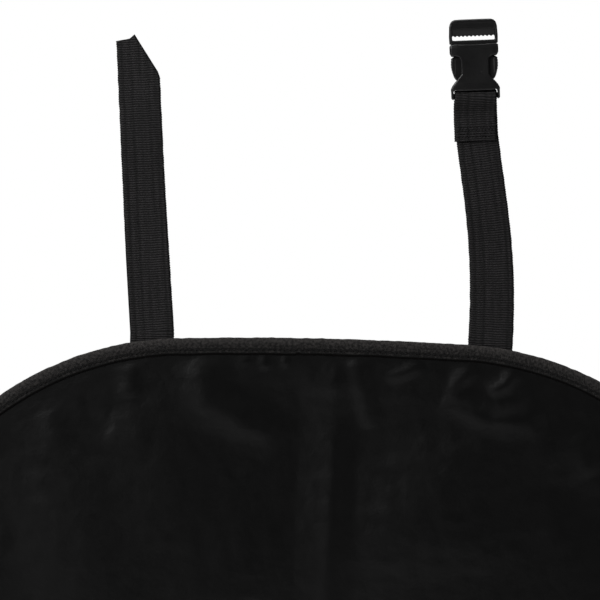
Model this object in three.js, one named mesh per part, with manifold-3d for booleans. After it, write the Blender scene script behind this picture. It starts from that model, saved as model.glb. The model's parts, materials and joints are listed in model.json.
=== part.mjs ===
// An artist's smock apron: a bound cloth panel with rounded shoulders and two patch pockets, a neck strap and
// a waist strap of woven webbing, each in two parts that a side-release buckle joins.
//
// Millimetres, +Z up. The apron stands upright and flat: +X is to the right of someone facing it, and its
// front faces -Y. The origin is under the middle of the hem. "left" and "right" are as seen from the front.
// The panel folds in half about its vertical centre crease, so cloth and tape are built as two halves that
// meet there. Sewn layers that touch on the real apron keep a thin gap of air here.
import * as THREE from 'three';
import { mergeVertices } from 'three/addons/utils/BufferGeometryUtils.js';
import Module from 'manifold-3d';

const wasm = await Module();
wasm.setup();

// ---------------------------------------------------------------------------------------------------------
// Driving dimensions
// ---------------------------------------------------------------------------------------------------------
const APRON_LENGTH = 720; // hem to the middle of the top edge
const CROWN_RADIUS = 1970; // the top edge is a little crowned between the shoulders
const CROWN_HALF_WIDTH = 84;
const SHOULDER_RADIUS = 188;
const FLARE = THREE.MathUtils.degToRad(4); // the sides widen by this angle down to the hem
const HEM_CORNER_RADIUS = 60;

const CLOTH = 0.6; // thickness of the panel and pocket cloth
const TAPE = 0.7; // thickness of the binding tape
const THREAD = 0.4; // height of a line of stitches
const GAP = 0.3; // air between neighbouring layers
const BINDING_WIDTH = 10;
const SEAM_INSET = 6.9; // the binding's line of stitches, from the outer edge
const SEAM_WIDTH = 0.6;
const FOLD_GAP = 0.3; // between the two halves at the centre crease

const WEB_WIDTH = 25;
const WEB = 1.4; // thickness of the webbing
const SEWN_LENGTH = 24; // webbing sewn down behind the binding
const HINGE_RISE = 3; // a strap bends this far outside the binding's edge
const HINGE_ROOM = 1; // from the bend to the start of the strap's free length

const NECK_STRAP_X = { left: -99.1, right: 95.9 }; // middle of each neck strap at the top edge
const NECK_TAIL_END = new THREE.Vector2(-111.2, APRON_LENGTH + 172.9); // middle of the left strap's slanted tip
const NECK_TAIL_HANDLES = { root: new THREE.Vector2(-4.2, 50), tip: new THREE.Vector2(3.4, -52) }; // its curve
const NECK_BAR = new THREE.Vector2(83.9, APRON_LENGTH + 141.6); // the buckle's webbing bar
const NECK_BUCKLE_LEAN = THREE.MathUtils.degToRad(3.6); // towards -X
const NECK_STRAP_LEAN = THREE.MathUtils.degToRad(7.4); // of the strap, where its folded-back end begins
const NECK_ROOT_LEAN = THREE.MathUtils.degToRad(-2); // of the same strap, where it leaves the binding
const WAIST_HEIGHT = 430;
const WAIST_REACH = 490; // from the centre to the end of either waist strap
const WAIST_DROOP = 12; // how far the free end lies below the sewn end

const POCKET = { x: 132, width: 172, bottom: 168, height: 185, corner: 20, room: 3 };

// Sewn boxes with a cross in them: at the straps' roots, and across a strap folded back below its buckle
const ROOT_STITCHES = { width: 17, height: 15, line: 0.9 };
const LOOP_STITCHES = { width: 20, height: 6.5, line: 0.9 };
const LOOP_STITCH_Z = -20.8; // middle of those stitches, from the buckle's webbing bar

// The buckle, from the middle of its webbing bar towards the plug's end.
const BUCKLE = {
  barRadius: 1.5,
  armEnd: -2.6,
  housingStart: 3.7,
  cavityStart: 6.2,
  windowStart: 9.1,
  windowEnd: 22.8,
  mouth: 30,
  plugEnd: 44,
  halfWidth: 14,
  bandHalfWidth: 13.9,
  waistHalfWidth: 7.9,
  throatHalfWidth: 11.6,
  webHalfWidth: 12.8,
  halfDepth: 4.3,
  cavityHalfDepth: 2.5,
  pocketCorner: 10.7, // where the press windows' slanted feet meet the housing's sides
  plugFront: -2.6,
  plugBack: 2.8,
  prongInner: 8.4,
  prongOuter: 10.8,
};

// ---------------------------------------------------------------------------------------------------------
// Layers along y, measured from the middle of the panel cloth. Lower values lie nearer the front.
// ---------------------------------------------------------------------------------------------------------
const PANEL_FACE = CLOTH / 2;
const BINDING_FACE = PANEL_FACE + GAP + TAPE;
const STRAP_FRONT = BINDING_FACE + GAP;
const STRAP_BACK = STRAP_FRONT + WEB;
const STITCH_BACK = STRAP_BACK + GAP + THREAD;
const SEAM_FRONT = -(BINDING_FACE + GAP + THREAD);
const POCKET_FRONT = -(PANEL_FACE + POCKET.room + CLOTH);
const LOOP_RADIUS = BUCKLE.barRadius + GAP; // inside of the webbing's turn round the bar
const BAR_DEPTH = STRAP_FRONT - LOOP_RADIUS; // the webbing passes behind the bar

const BUCKLE_LENGTH_FROM_BAR = BUCKLE.plugEnd;
const BACKMOST = STITCH_BACK;
const FRONTMOST = Math.min(BAR_DEPTH - BUCKLE.halfDepth, POCKET_FRONT - GAP - TAPE);
const BUCKLE_BACK = BAR_DEPTH + BUCKLE.halfDepth;
const PANEL_Y = -(FRONTMOST + Math.max(BACKMOST, BUCKLE_BACK)) / 2; // centres the apron's depth on y = 0

// ---------------------------------------------------------------------------------------------------------
// Helpers
// ---------------------------------------------------------------------------------------------------------

/** A closed geometry as a solid that can be cut and joined. */
function solidOf(geometry) {
  const bare = geometry.clone();
  bare.deleteAttribute('normal');
  bare.deleteAttribute('uv');
  const merged = mergeVertices(bare, 1e-4);
  return new wasm.Manifold(
    new wasm.Mesh({
      numProp: 3,
      vertProperties: merged.attributes.position.array,
      triVerts: new Uint32Array(merged.index.array),
    }),
  );
}

/** A solid as a geometry. */
function geometryOf(solid) {
  const mesh = solid.getMesh();
  const geometry = new THREE.BufferGeometry();
  geometry.setAttribute('position', new THREE.BufferAttribute(mesh.vertProperties, 3));
  geometry.setIndex(new THREE.BufferAttribute(mesh.triVerts, 1));
  return geometry;
}

function cut(geometry, ...tools) {
  return geometryOf(tools.reduce((solid, tool) => solid.subtract(solidOf(tool)), solidOf(geometry)));
}

function join(geometry, ...others) {
  return geometryOf(others.reduce((solid, other) => solid.add(solidOf(other)), solidOf(geometry)));
}

function overlap(geometry, other) {
  return geometryOf(solidOf(geometry).intersect(solidOf(other)));
}

/** A flat sheet: a shape drawn in (x, z), with faces at the depths front and back along y. */
function sheet(shape, front, back, curveSegments = 10) {
  const geometry = new THREE.ExtrudeGeometry(shape, { depth: back - front, bevelEnabled: false, curveSegments });
  geometry.rotateX(Math.PI / 2);
  geometry.translate(0, back, 0);
  return geometry;
}

/** A profile drawn in (y, z), drawn out to the given width along x and centred on x = 0. */
function drawnOut(shape, width, curveSegments = 8) {
  const geometry = new THREE.ExtrudeGeometry(shape, { depth: width, bevelEnabled: false, curveSegments });
  geometry.rotateX(Math.PI / 2);
  geometry.rotateZ(Math.PI / 2);
  geometry.translate(-width / 2, 0, 0);
  return geometry;
}

function block(x0, x1, y0, y1, z0, z1) {
  const geometry = new THREE.BoxGeometry(x1 - x0, y1 - y0, z1 - z0);
  geometry.translate((x0 + x1) / 2, (y0 + y1) / 2, (z0 + z1) / 2);
  return geometry;
}

function rectangle(x0, x1, z0, z1) {
  return new THREE.Shape([
    new THREE.Vector2(x0, z0),
    new THREE.Vector2(x1, z0),
    new THREE.Vector2(x1, z1),
    new THREE.Vector2(x0, z1),
  ]);
}

function polygon(points) {
  return new THREE.Shape(points.map(([x, z]) => new THREE.Vector2(x, z)));
}

function fabric(color) {
  return new THREE.MeshStandardMaterial({ color, roughness: 0.85, metalness: 0 });
}

const CLOTH_LOOK = new THREE.MeshStandardMaterial({ color: 0x161616, roughness: 0.55, metalness: 0 });
const TAPE_LOOK = fabric(0x24211f);
const WEB_LOOK = fabric(0x201f20);
const THREAD_LOOK = fabric(0x1a1a1a);
const PLASTIC_LOOK = new THREE.MeshStandardMaterial({ color: 0x1c1c1d, roughness: 0.38, metalness: 0 });

function part(name, geometry, material) {
  const mesh = new THREE.Mesh(geometry, material);
  mesh.name = name;
  return mesh;
}

// ---------------------------------------------------------------------------------------------------------
// Panel outline: straight hem, round corner, flared side, shoulder arc and crown
// ---------------------------------------------------------------------------------------------------------
const CROWN_ANGLE = Math.asin(CROWN_HALF_WIDTH / CROWN_RADIUS);
const CROWN_CENTRE = new THREE.Vector2(0, APRON_LENGTH - CROWN_RADIUS);
const SHOULDER_CENTRE = new THREE.Vector2(Math.sin(CROWN_ANGLE), Math.cos(CROWN_ANGLE))
  .multiplyScalar(CROWN_RADIUS - SHOULDER_RADIUS)
  .add(CROWN_CENTRE);
const SIDE_NORMAL = new THREE.Vector2(Math.cos(FLARE), Math.sin(FLARE));
const SIDE_OFFSET = SHOULDER_CENTRE.dot(SIDE_NORMAL) + SHOULDER_RADIUS;
const CORNER_CENTRE = new THREE.Vector2(
  (SIDE_OFFSET - HEM_CORNER_RADIUS - HEM_CORNER_RADIUS * SIDE_NORMAL.y) / SIDE_NORMAL.x,
  HEM_CORNER_RADIUS,
);

/** The right half's outline, drawn in from the apron's edge by inset, and stopping at x = foldX. */
function halfOutline(inset, foldX = FOLD_GAP / 2) {
  const quarter = Math.PI / 2;
  const crown = CROWN_RADIUS - inset;
  const shape = new THREE.Shape();
  shape.moveTo(foldX, inset);
  shape.lineTo(CORNER_CENTRE.x, inset);
  shape.absarc(CORNER_CENTRE.x, CORNER_CENTRE.y, HEM_CORNER_RADIUS - inset, -quarter, FLARE);
  shape.absarc(SHOULDER_CENTRE.x, SHOULDER_CENTRE.y, SHOULDER_RADIUS - inset, FLARE, quarter - CROWN_ANGLE);
  shape.absarc(CROWN_CENTRE.x, CROWN_CENTRE.y, crown, quarter - CROWN_ANGLE, quarter - Math.asin(foldX / crown));
  return shape;
}

const PAST_FOLD = -1; // cutting shapes run past the fold, so that a cut binding is open there

function shoulderHeight(x) {
  return SHOULDER_CENTRE.y + Math.sqrt(SHOULDER_RADIUS ** 2 - (x - SHOULDER_CENTRE.x) ** 2);
}

function sideReach(z) {
  return (SIDE_OFFSET - z * SIDE_NORMAL.y) / SIDE_NORMAL.x;
}

// ---------------------------------------------------------------------------------------------------------
// Cloth, tape and their stitches: one half of the apron
// ---------------------------------------------------------------------------------------------------------

function panelHalf() {
  return sheet(halfOutline(TAPE + GAP), -PANEL_FACE, PANEL_FACE);
}

/** Tape folded over the panel's edge: a U-shaped section that follows the outline. */
function bindingHalf() {
  const channel = PANEL_FACE + GAP;
  return cut(
    sheet(halfOutline(0), -BINDING_FACE, BINDING_FACE),
    sheet(halfOutline(BINDING_WIDTH, PAST_FOLD), -2 * BINDING_FACE, 2 * BINDING_FACE),
    sheet(halfOutline(TAPE, PAST_FOLD), -channel, channel),
  );
}

function seamHalf() {
  const back = -(BINDING_FACE + GAP);
  return cut(
    sheet(halfOutline(SEAM_INSET), SEAM_FRONT, back),
    sheet(halfOutline(SEAM_INSET + SEAM_WIDTH, PAST_FOLD), SEAM_FRONT - 1, back + 1),
  );
}

/** A pocket's outline, in by inset on its sewn sides and up by raise at its mouth. */
function pocketOutline(inset, raise = 0) {
  const half = POCKET.width / 2 - inset;
  const foot = POCKET.bottom + inset;
  const mouth = POCKET.bottom + POCKET.height + raise;
  const radius = POCKET.corner - inset;
  const shape = new THREE.Shape();
  shape.moveTo(POCKET.x - half, mouth);
  shape.absarc(POCKET.x - half + radius, foot + radius, radius, Math.PI, 1.5 * Math.PI);
  shape.absarc(POCKET.x + half - radius, foot + radius, radius, 1.5 * Math.PI, 2 * Math.PI);
  shape.lineTo(POCKET.x + half, mouth);
  return shape;
}

/** A front sheet that stands off the panel on its turned side and bottom edges, open at the mouth. */
function pocketCloth() {
  const mouth = POCKET.bottom + POCKET.height;
  const half = POCKET.width / 2 + 1;
  const inside = POCKET_FRONT + CLOTH;
  return cut(
    sheet(pocketOutline(0), POCKET_FRONT, -(PANEL_FACE + GAP)),
    sheet(pocketOutline(CLOTH, 1), inside, 1),
    sheet(rectangle(POCKET.x - half, POCKET.x + half, mouth - BINDING_WIDTH, mouth + 1), inside, 1),
  );
}

function pocketTape() {
  const middle = POCKET_FRONT + CLOTH / 2;
  const mouth = POCKET.bottom + POCKET.height;
  const top = mouth + GAP + TAPE;
  const half = POCKET.width / 2;
  const channel = PANEL_FACE + GAP;
  return cut(
    sheet(
      rectangle(POCKET.x - half, POCKET.x + half, top - BINDING_WIDTH, top),
      middle - BINDING_FACE,
      middle + BINDING_FACE,
    ),
    sheet(
      rectangle(POCKET.x - half - 1, POCKET.x + half + 1, top - BINDING_WIDTH - 1, mouth + GAP),
      middle - channel,
      middle + channel,
    ),
  );
}

function clothHalf(side) {
  const half = new THREE.Group();
  half.scale.x = side === 'left' ? -1 : 1;
  half.add(
    part(`panel_${side}`, panelHalf(), CLOTH_LOOK),
    part(`edge_binding_${side}`, bindingHalf(), TAPE_LOOK),
    part(`binding_seam_${side}`, seamHalf(), THREAD_LOOK),
    part(`pocket_${side}`, pocketCloth(), CLOTH_LOOK),
    part(`pocket_binding_${side}`, pocketTape(), TAPE_LOOK),
  );
  return half;
}

// ---------------------------------------------------------------------------------------------------------
// Webbing
// ---------------------------------------------------------------------------------------------------------

/** Points at half a strap's width to one side of a curve in (x, z): side is +1 for its right, -1 for its left. */
function strapEdge(centreline, side, steps) {
  return centreline.getPoints(steps).map((point, i) => {
    const along = centreline.getTangent(i / steps);
    return new THREE.Vector2(along.y, -along.x).multiplyScalar((side * WEB_WIDTH) / 2).add(point);
  });
}

/** A flat strap, square at both ends, that bends within its own plane. */
function flatStrap(centreline, steps = 12) {
  const left = strapEdge(centreline, -1, steps);
  const right = strapEdge(centreline, 1, steps);
  return sheet(new THREE.Shape([...left, ...right.reverse()]), STRAP_FRONT, STRAP_BACK);
}

/** The sewn-down end of a strap: it rises from z = -SEWN_LENGTH to z = 0. */
function sewnTab() {
  const half = WEB_WIDTH / 2;
  return sheet(rectangle(-half, half, -SEWN_LENGTH, 0), STRAP_FRONT, STRAP_BACK);
}

/** Lines of thread: a box with a cross in it, centred on x = 0 and z = 0. */
function stitchBox({ width, height, line }, front, back) {
  const frame = rectangle(-width / 2, width / 2, -height / 2, height / 2);
  const inner = rectangle(line - width / 2, width / 2 - line, line - height / 2, height / 2 - line);
  frame.holes.push(new THREE.Path(inner.getPoints().reverse()));
  const diagonal = Math.hypot(width, height) - 3 * line;
  const strokes = [1, -1].map((sign) => {
    const stroke = sheet(rectangle(-diagonal / 2, diagonal / 2, -line / 2, line / 2), front, back);
    stroke.rotateY(sign * Math.atan2(height, width));
    return stroke;
  });
  return join(sheet(frame, front, back), ...strokes);
}

const TAIL_OVERLAP = 26; // webbing folded back on itself below the buckle
const TAIL_FRONT = LOOP_RADIUS - GAP - WEB; // where the folded end comes to lie in front of the strap

/** The turn round the buckle's bar, in the buckle's frame: up behind the bar, over it and down in front. */
function barLoop() {
  const outer = LOOP_RADIUS + WEB;
  const settle = -12;
  const profile = new THREE.Shape();
  profile.moveTo(outer, -TAIL_OVERLAP);
  profile.lineTo(outer, 0);
  profile.absarc(0, 0, outer, 0, Math.PI);
  profile.bezierCurveTo(-outer, settle / 2, TAIL_FRONT, settle / 2, TAIL_FRONT, settle);
  profile.lineTo(TAIL_FRONT, -TAIL_OVERLAP);
  profile.lineTo(TAIL_FRONT + WEB, -TAIL_OVERLAP);
  profile.lineTo(TAIL_FRONT + WEB, settle);
  profile.bezierCurveTo(TAIL_FRONT + WEB, settle / 2, -LOOP_RADIUS, settle / 2, -LOOP_RADIUS, 0);
  profile.absarc(0, 0, LOOP_RADIUS, Math.PI, 0, true);
  profile.lineTo(LOOP_RADIUS, -TAIL_OVERLAP);
  return drawnOut(profile, WEB_WIDTH);
}

/** Puts a piece drawn in the buckle's frame where the buckle is: bar at (x, z), plug end leaning by angle. */
function atBuckle(geometry, bar, angle) {
  geometry.rotateY(angle);
  geometry.translate(bar.x, BAR_DEPTH, bar.y);
  return geometry;
}

// ---------------------------------------------------------------------------------------------------------
// Side-release buckle
// ---------------------------------------------------------------------------------------------------------

/** A polygon given by its right-hand points, mirrored to its left. */
function mirroredPolygon(right) {
  return polygon([...right, ...right.map(([x, z]) => [-x, z]).reverse()]);
}

/** The socket: a flat housing with two side windows, and a webbing bar held between two arms. */
function socketBody() {
  const { halfWidth, bandHalfWidth, webHalfWidth, waistHalfWidth, throatHalfWidth, pocketCorner } = BUCKLE;
  const { armEnd, housingStart, cavityStart, windowStart, windowEnd, mouth, halfDepth } = BUCKLE;
  const face = mirroredPolygon([
    [halfWidth - 0.8, armEnd],
    [halfWidth, armEnd + 1.4],
    [halfWidth, housingStart + 1.4],
    [halfWidth - 0.7, housingStart + 2.6],
    [pocketCorner, windowStart],
    [pocketCorner, windowEnd - 1],
    [bandHalfWidth - 0.6, windowEnd],
    [bandHalfWidth, windowEnd + 2],
    [bandHalfWidth, mouth - 1],
    [bandHalfWidth - 0.6, mouth],
  ]);
  const edgeOn = mirroredPolygon([
    [1.6, armEnd],
    [2.1, armEnd + 1],
    [2.4, armEnd + 4],
    [halfDepth - 0.4, housingStart + 1.5],
    [halfDepth, windowStart],
    [halfDepth, mouth - 2.5],
    [halfDepth - 0.5, mouth],
  ]);
  const body = overlap(sheet(face, -halfDepth, halfDepth), drawnOut(edgeOn, 2 * halfWidth));
  const window = new THREE.Shape();
  window.moveTo(waistHalfWidth, windowStart + 3.1);
  window.lineTo(pocketCorner, windowStart);
  window.lineTo(halfWidth + 2, windowStart);
  window.lineTo(halfWidth + 2, windowEnd);
  window.lineTo(waistHalfWidth + 2.4, windowEnd);
  window.quadraticCurveTo(waistHalfWidth, windowEnd, waistHalfWidth, windowEnd - 2.6);
  const deep = halfDepth + 1;
  const windowRight = sheet(window, -deep, deep, 4);
  const windowLeft = windowRight.clone().rotateZ(Math.PI);
  const throat = block(
    -throatHalfWidth,
    throatHalfWidth,
    -BUCKLE.cavityHalfDepth,
    BUCKLE.cavityHalfDepth,
    cavityStart,
    mouth + 1,
  );
  const webSlot = block(-webHalfWidth, webHalfWidth, -deep, deep, armEnd - 1, housingStart);
  const bar = new THREE.CylinderGeometry(BUCKLE.barRadius, BUCKLE.barRadius, 2 * halfWidth - 1, 16);
  bar.rotateZ(Math.PI / 2);
  return join(cut(body, windowRight, windowLeft, throat, webSlot), bar);
}

/** The plug: a ladder-lock frame for the strap's tail, with a root and a guide tongue that enter the socket. */
function plugBody() {
  const { mouth, plugEnd, halfWidth, plugFront, plugBack } = BUCKLE;
  const rail = halfWidth - 1.7;
  const collar = mouth + GAP;
  const slotStart = collar + 1.6;
  const crossbarStart = slotStart + 2.5;
  const crossbarEnd = crossbarStart + 4.4;
  const lipStart = crossbarEnd - 0.4;
  const frame = mirroredPolygon([
    [halfWidth - 0.1, collar],
    [halfWidth, crossbarStart],
    [halfWidth - 0.4, plugEnd - 3.5],
    [halfWidth - 0.9, plugEnd - 1.2],
    [halfWidth - 2.1, plugEnd - 0.1],
    [halfWidth - 6, plugEnd],
  ]);
  const opening = block(-rail, rail, -4, 4, slotStart, plugEnd - 2.2);
  const crossbar = block(-rail - 0.5, rail + 0.5, 0.4, plugBack, crossbarStart, crossbarEnd);
  const lip = block(-rail - 0.5, rail + 0.5, plugFront, plugFront + 1.2, lipStart, plugEnd - 1.5);
  const root = block(-7.2, 7.2, -2.2, 2.2, mouth - 4.5, collar + 0.5);
  const tongue = block(-1.6, 1.6, -1.4, 1.4, mouth - 19, mouth - 4);
  const ladder = cut(sheet(frame, plugFront, plugBack), opening);
  return join(ladder, crossbar, lip, root, tongue, ...gripTeeth(rail, crossbarStart));
}

/** A row of small teeth along the crossbar's lower edge, which bite the strap. */
function gripTeeth(rail, edge) {
  const pitch = 2;
  const count = Math.floor((2 * rail) / pitch);
  return Array.from({ length: count }, (_, i) => {
    const x = (i - (count - 1) / 2) * pitch;
    const tooth = polygon([
      [x - 0.8, edge + 0.2],
      [x, edge - 0.6],
      [x + 0.8, edge + 0.2],
    ]);
    return sheet(tooth, 0.4, 1.8);
  });
}

/** The right-hand prong: a springy arm from the plug's root, with a catch and a press pad outside it. */
function prong() {
  const { windowStart, windowEnd, mouth, prongInner, prongOuter } = BUCKLE;
  const tip = windowStart - GAP;
  const arm = new THREE.Shape();
  arm.moveTo(prongInner, mouth);
  arm.lineTo(prongInner, tip + 2);
  arm.quadraticCurveTo(prongInner + 0.2, tip - 0.2, 10, tip);
  arm.bezierCurveTo(12, tip + 2.4, 13.4, tip + 7.4, 12.5, windowEnd - 0.4);
  arm.lineTo(prongOuter, windowEnd - 0.1);
  arm.lineTo(prongOuter, mouth);
  const pad = new THREE.Shape();
  const padStart = windowStart + 4.3;
  const padEnd = windowEnd - 1.2;
  pad.moveTo(prongOuter + 0.1, padStart);
  pad.lineTo(12.15, padStart);
  pad.quadraticCurveTo(13.6, padStart + 4.3, 12.6, padEnd);
  pad.lineTo(prongOuter + 0.1, padEnd);
  return join(sheet(arm, -1.9, 1.9, 6), sheet(pad, -2.2, 2.2, 6));
}

/** A closed buckle. Its prongs are named for the sides on which they lie, -x of the buckle's frame first. */
function buckle(prefix, bar, angle, sides) {
  const group = new THREE.Group();
  group.position.set(bar.x, BAR_DEPTH, bar.y);
  group.rotation.y = angle;
  const prongs = sides.map((side) => part(`${prefix}_buckle_prong_${side}`, prong(), PLASTIC_LOOK));
  prongs[0].rotation.z = Math.PI;
  group.add(
    part(`${prefix}_buckle_socket`, socketBody(), PLASTIC_LOOK),
    part(`${prefix}_buckle_plug`, plugBody(), PLASTIC_LOOK),
    ...prongs,
  );
  return group;
}

// ---------------------------------------------------------------------------------------------------------
// Neck strap: a tail on the left, the buckle on the right
// ---------------------------------------------------------------------------------------------------------
const NECK_EDGE = shoulderHeight(NECK_STRAP_X.right - WEB_WIDTH / 2); // the highest binding edge under a strap
const NECK_START = NECK_EDGE + HINGE_RISE + HINGE_ROOM;

function neckTab(side) {
  const tab = new THREE.Group();
  tab.position.set(NECK_STRAP_X[side], 0, NECK_EDGE);
  const stitches = part(`neck_tab_stitch_${side}`, stitchBox(ROOT_STITCHES, STRAP_BACK + GAP, STITCH_BACK), THREAD_LOOK);
  stitches.position.z = -SEWN_LENGTH / 2;
  tab.add(part(`neck_tab_${side}`, sewnTab(), WEB_LOOK), stitches);
  return tab;
}

/** The free left strap. Its end is cut and sealed on a slant, so that it threads into the buckle. */
function neckTail() {
  const start = new THREE.Vector2(NECK_STRAP_X.left, NECK_START);
  const centreline = new THREE.CubicBezierCurve(
    start,
    NECK_TAIL_HANDLES.root.clone().add(start),
    NECK_TAIL_HANDLES.tip.clone().add(NECK_TAIL_END),
    NECK_TAIL_END,
  );
  // What the scissors take off, from the middle of the tip: a level cut, then a slant down the right-hand edge
  const waste = polygon([
    [-20, 12],
    [-20, -3.7],
    [-4.6, -2.4],
    [-1.6, 0.1],
    [11.1, -22],
    [13, -28],
    [24, -28],
    [24, 12],
  ]);
  const blade = sheet(waste, STRAP_FRONT - 1, STRAP_BACK + 1);
  blade.translate(NECK_TAIL_END.x, 0, NECK_TAIL_END.y);
  return cut(flatStrap(centreline), blade);
}

/** The point at a distance from another, straight up but for a lean towards -X. */
function leaning(from, angle, distance) {
  return new THREE.Vector2(-Math.sin(angle), Math.cos(angle)).multiplyScalar(distance).add(from);
}

function neckBuckleStrap() {
  const start = new THREE.Vector2(NECK_STRAP_X.right, NECK_START);
  const end = leaning(NECK_BAR, NECK_BUCKLE_LEAN, 4 - TAIL_OVERLAP);
  const centreline = new THREE.CubicBezierCurve(
    start,
    leaning(start, NECK_ROOT_LEAN, 54),
    leaning(end, NECK_STRAP_LEAN, -31),
    end,
  );
  return join(flatStrap(centreline), atBuckle(barLoop(), NECK_BAR, -NECK_BUCKLE_LEAN));
}

/** Stitches across the folded-back end, on its front. */
function loopStitch(bar, angle) {
  const stitches = stitchBox(LOOP_STITCHES, TAIL_FRONT - GAP - THREAD, TAIL_FRONT - GAP);
  stitches.translate(0, 0, LOOP_STITCH_Z);
  return atBuckle(stitches, bar, angle);
}

// ---------------------------------------------------------------------------------------------------------
// Waist strap: the same webbing and buckle, lying outwards from the side edges
// ---------------------------------------------------------------------------------------------------------
const WAIST_EDGE = sideReach(WAIST_HEIGHT - WEB_WIDTH / 2); // the widest binding edge under a strap
const WAIST_START = WAIST_EDGE + HINGE_RISE + HINGE_ROOM;
const WAIST_BAR = new THREE.Vector2(WAIST_REACH - BUCKLE_LENGTH_FROM_BAR, WAIST_HEIGHT - WAIST_DROOP);

function waistTab(side) {
  const sign = side === 'left' ? -1 : 1;
  const tab = new THREE.Group();
  tab.position.set(sign * WAIST_EDGE, 0, WAIST_HEIGHT);
  tab.rotation.y = (sign * Math.PI) / 2;
  const stitches = part(`waist_tab_stitch_${side}`, stitchBox(ROOT_STITCHES, STRAP_BACK + GAP, STITCH_BACK), THREAD_LOOK);
  stitches.position.z = -SEWN_LENGTH / 2;
  tab.add(part(`waist_tab_${side}`, sewnTab(), WEB_LOOK), stitches);
  return tab;
}

/** A level S-curve from the side edge out to x = reach, WAIST_DROOP lower. */
function waistLine(sign, reach) {
  const length = reach - WAIST_START;
  return new THREE.CubicBezierCurve(
    new THREE.Vector2(sign * WAIST_START, WAIST_HEIGHT),
    new THREE.Vector2(sign * (WAIST_START + length / 2), WAIST_HEIGHT),
    new THREE.Vector2(sign * (reach - length / 2), WAIST_HEIGHT - WAIST_DROOP),
    new THREE.Vector2(sign * reach, WAIST_HEIGHT - WAIST_DROOP),
  );
}

function waistBuckleStrap() {
  const straight = flatStrap(waistLine(1, WAIST_BAR.x + 4 - TAIL_OVERLAP));
  return join(straight, atBuckle(barLoop(), WAIST_BAR, Math.PI / 2));
}

// ---------------------------------------------------------------------------------------------------------
// Assembly
// ---------------------------------------------------------------------------------------------------------
const apron = new THREE.Group();
apron.position.y = PANEL_Y;
apron.add(
  clothHalf('left'),
  clothHalf('right'),
  neckTab('left'),
  neckTab('right'),
  part('neck_strap_left', neckTail(), WEB_LOOK),
  part('neck_strap_right', neckBuckleStrap(), WEB_LOOK),
  part('neck_loop_stitch', loopStitch(NECK_BAR, -NECK_BUCKLE_LEAN), THREAD_LOOK),
  buckle('neck', NECK_BAR, -NECK_BUCKLE_LEAN, ['left', 'right']),
  waistTab('left'),
  waistTab('right'),
  part('waist_strap_left', flatStrap(waistLine(-1, WAIST_REACH)), WEB_LOOK),
  part('waist_strap_right', waistBuckleStrap(), WEB_LOOK),
  part('waist_loop_stitch', loopStitch(WAIST_BAR, Math.PI / 2), THREAD_LOOK),
  buckle('waist', WAIST_BAR, Math.PI / 2, ['upper', 'lower']),
);

const root = new THREE.Group();
root.add(apron);
export default root;
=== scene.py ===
"""The looks of an artist's smock apron, built round its fixed frame: bound satin nylon, woven webbing,
sewing thread and moulded side-release buckles. Lengths are in millimetres until they are written."""
import json
import math

import bpy
import numpy as np
from mathutils import Matrix, Vector


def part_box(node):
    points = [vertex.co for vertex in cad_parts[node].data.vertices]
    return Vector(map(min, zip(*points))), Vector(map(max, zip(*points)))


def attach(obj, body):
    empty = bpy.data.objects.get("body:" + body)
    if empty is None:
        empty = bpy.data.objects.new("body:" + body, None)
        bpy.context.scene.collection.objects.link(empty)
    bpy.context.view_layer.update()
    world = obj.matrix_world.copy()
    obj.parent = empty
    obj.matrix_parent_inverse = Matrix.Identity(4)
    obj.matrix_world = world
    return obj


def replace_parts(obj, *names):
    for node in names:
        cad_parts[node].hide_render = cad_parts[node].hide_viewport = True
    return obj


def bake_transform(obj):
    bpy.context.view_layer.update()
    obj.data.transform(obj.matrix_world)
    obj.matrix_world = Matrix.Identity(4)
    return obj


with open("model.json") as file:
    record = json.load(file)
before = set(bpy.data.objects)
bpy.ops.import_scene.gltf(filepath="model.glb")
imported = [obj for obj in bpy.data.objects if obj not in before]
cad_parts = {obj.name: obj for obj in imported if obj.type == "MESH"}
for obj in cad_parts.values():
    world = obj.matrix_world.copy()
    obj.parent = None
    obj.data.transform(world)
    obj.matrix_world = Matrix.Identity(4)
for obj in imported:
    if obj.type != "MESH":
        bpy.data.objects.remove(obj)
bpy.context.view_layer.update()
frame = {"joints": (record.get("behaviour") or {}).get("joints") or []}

MM = 0.001

# ---- What the frame says ----
JOINTS = {joint["name"]: joint for joint in frame["joints"]}


def joint_place(name):
    """A joint's position at rest, in millimetres."""
    return np.array(JOINTS[name]["pos_m"]) / MM


def node_box(name):
    """A CAD node's lowest and highest corner, in millimetres."""
    low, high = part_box(name)
    return np.array(low) / MM, np.array(high) / MM


BINDING_LOW, BINDING_HIGH = node_box("edge_binding_right")
PANEL_LOW, PANEL_HIGH = node_box("panel_right")
APRON_LENGTH = BINDING_HIGH[2]
CLOTH_Y = (PANEL_LOW[1] + PANEL_HIGH[1]) / 2
CLOTH_HALF = (PANEL_HIGH[1] - PANEL_LOW[1]) / 2
BINDING_HALF = (BINDING_HIGH[1] - BINDING_LOW[1]) / 2
STRAP_Y = joint_place("neck_strap_left_swing")[1]

# The outline's radii and angles, which a box can't give
CROWN_RADIUS = 1970
CROWN_HALF_WIDTH = 84
SHOULDER_RADIUS = 188
FLARE = math.radians(4)
HEM_CORNER_RADIUS = 60

BINDING_WIDTH = 10
TAPE = 0.65  # the binding tape's thickness
SEAM_INSET = 6.9
STITCH_PITCH = 3.2

WEB_WIDTH = 25
WEB_HALF = 0.7
RIB_PITCH = 1.38
SEWN_LENGTH = 24


# ---- Numbers along lines ----
def as_points(*coordinates):
    """Points from their coordinates, each an array or one number for all of them."""
    return np.stack(np.broadcast_arrays(*coordinates), -1)


def smooth_step(value, low, high):
    t = np.clip((value - low) / (high - low), 0, 1)
    return t * t * (3 - 2 * t)


def hump(value, middle, width):
    """A bell curve of height 1."""
    return np.exp(-(((value - middle) / width) ** 2))


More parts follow.
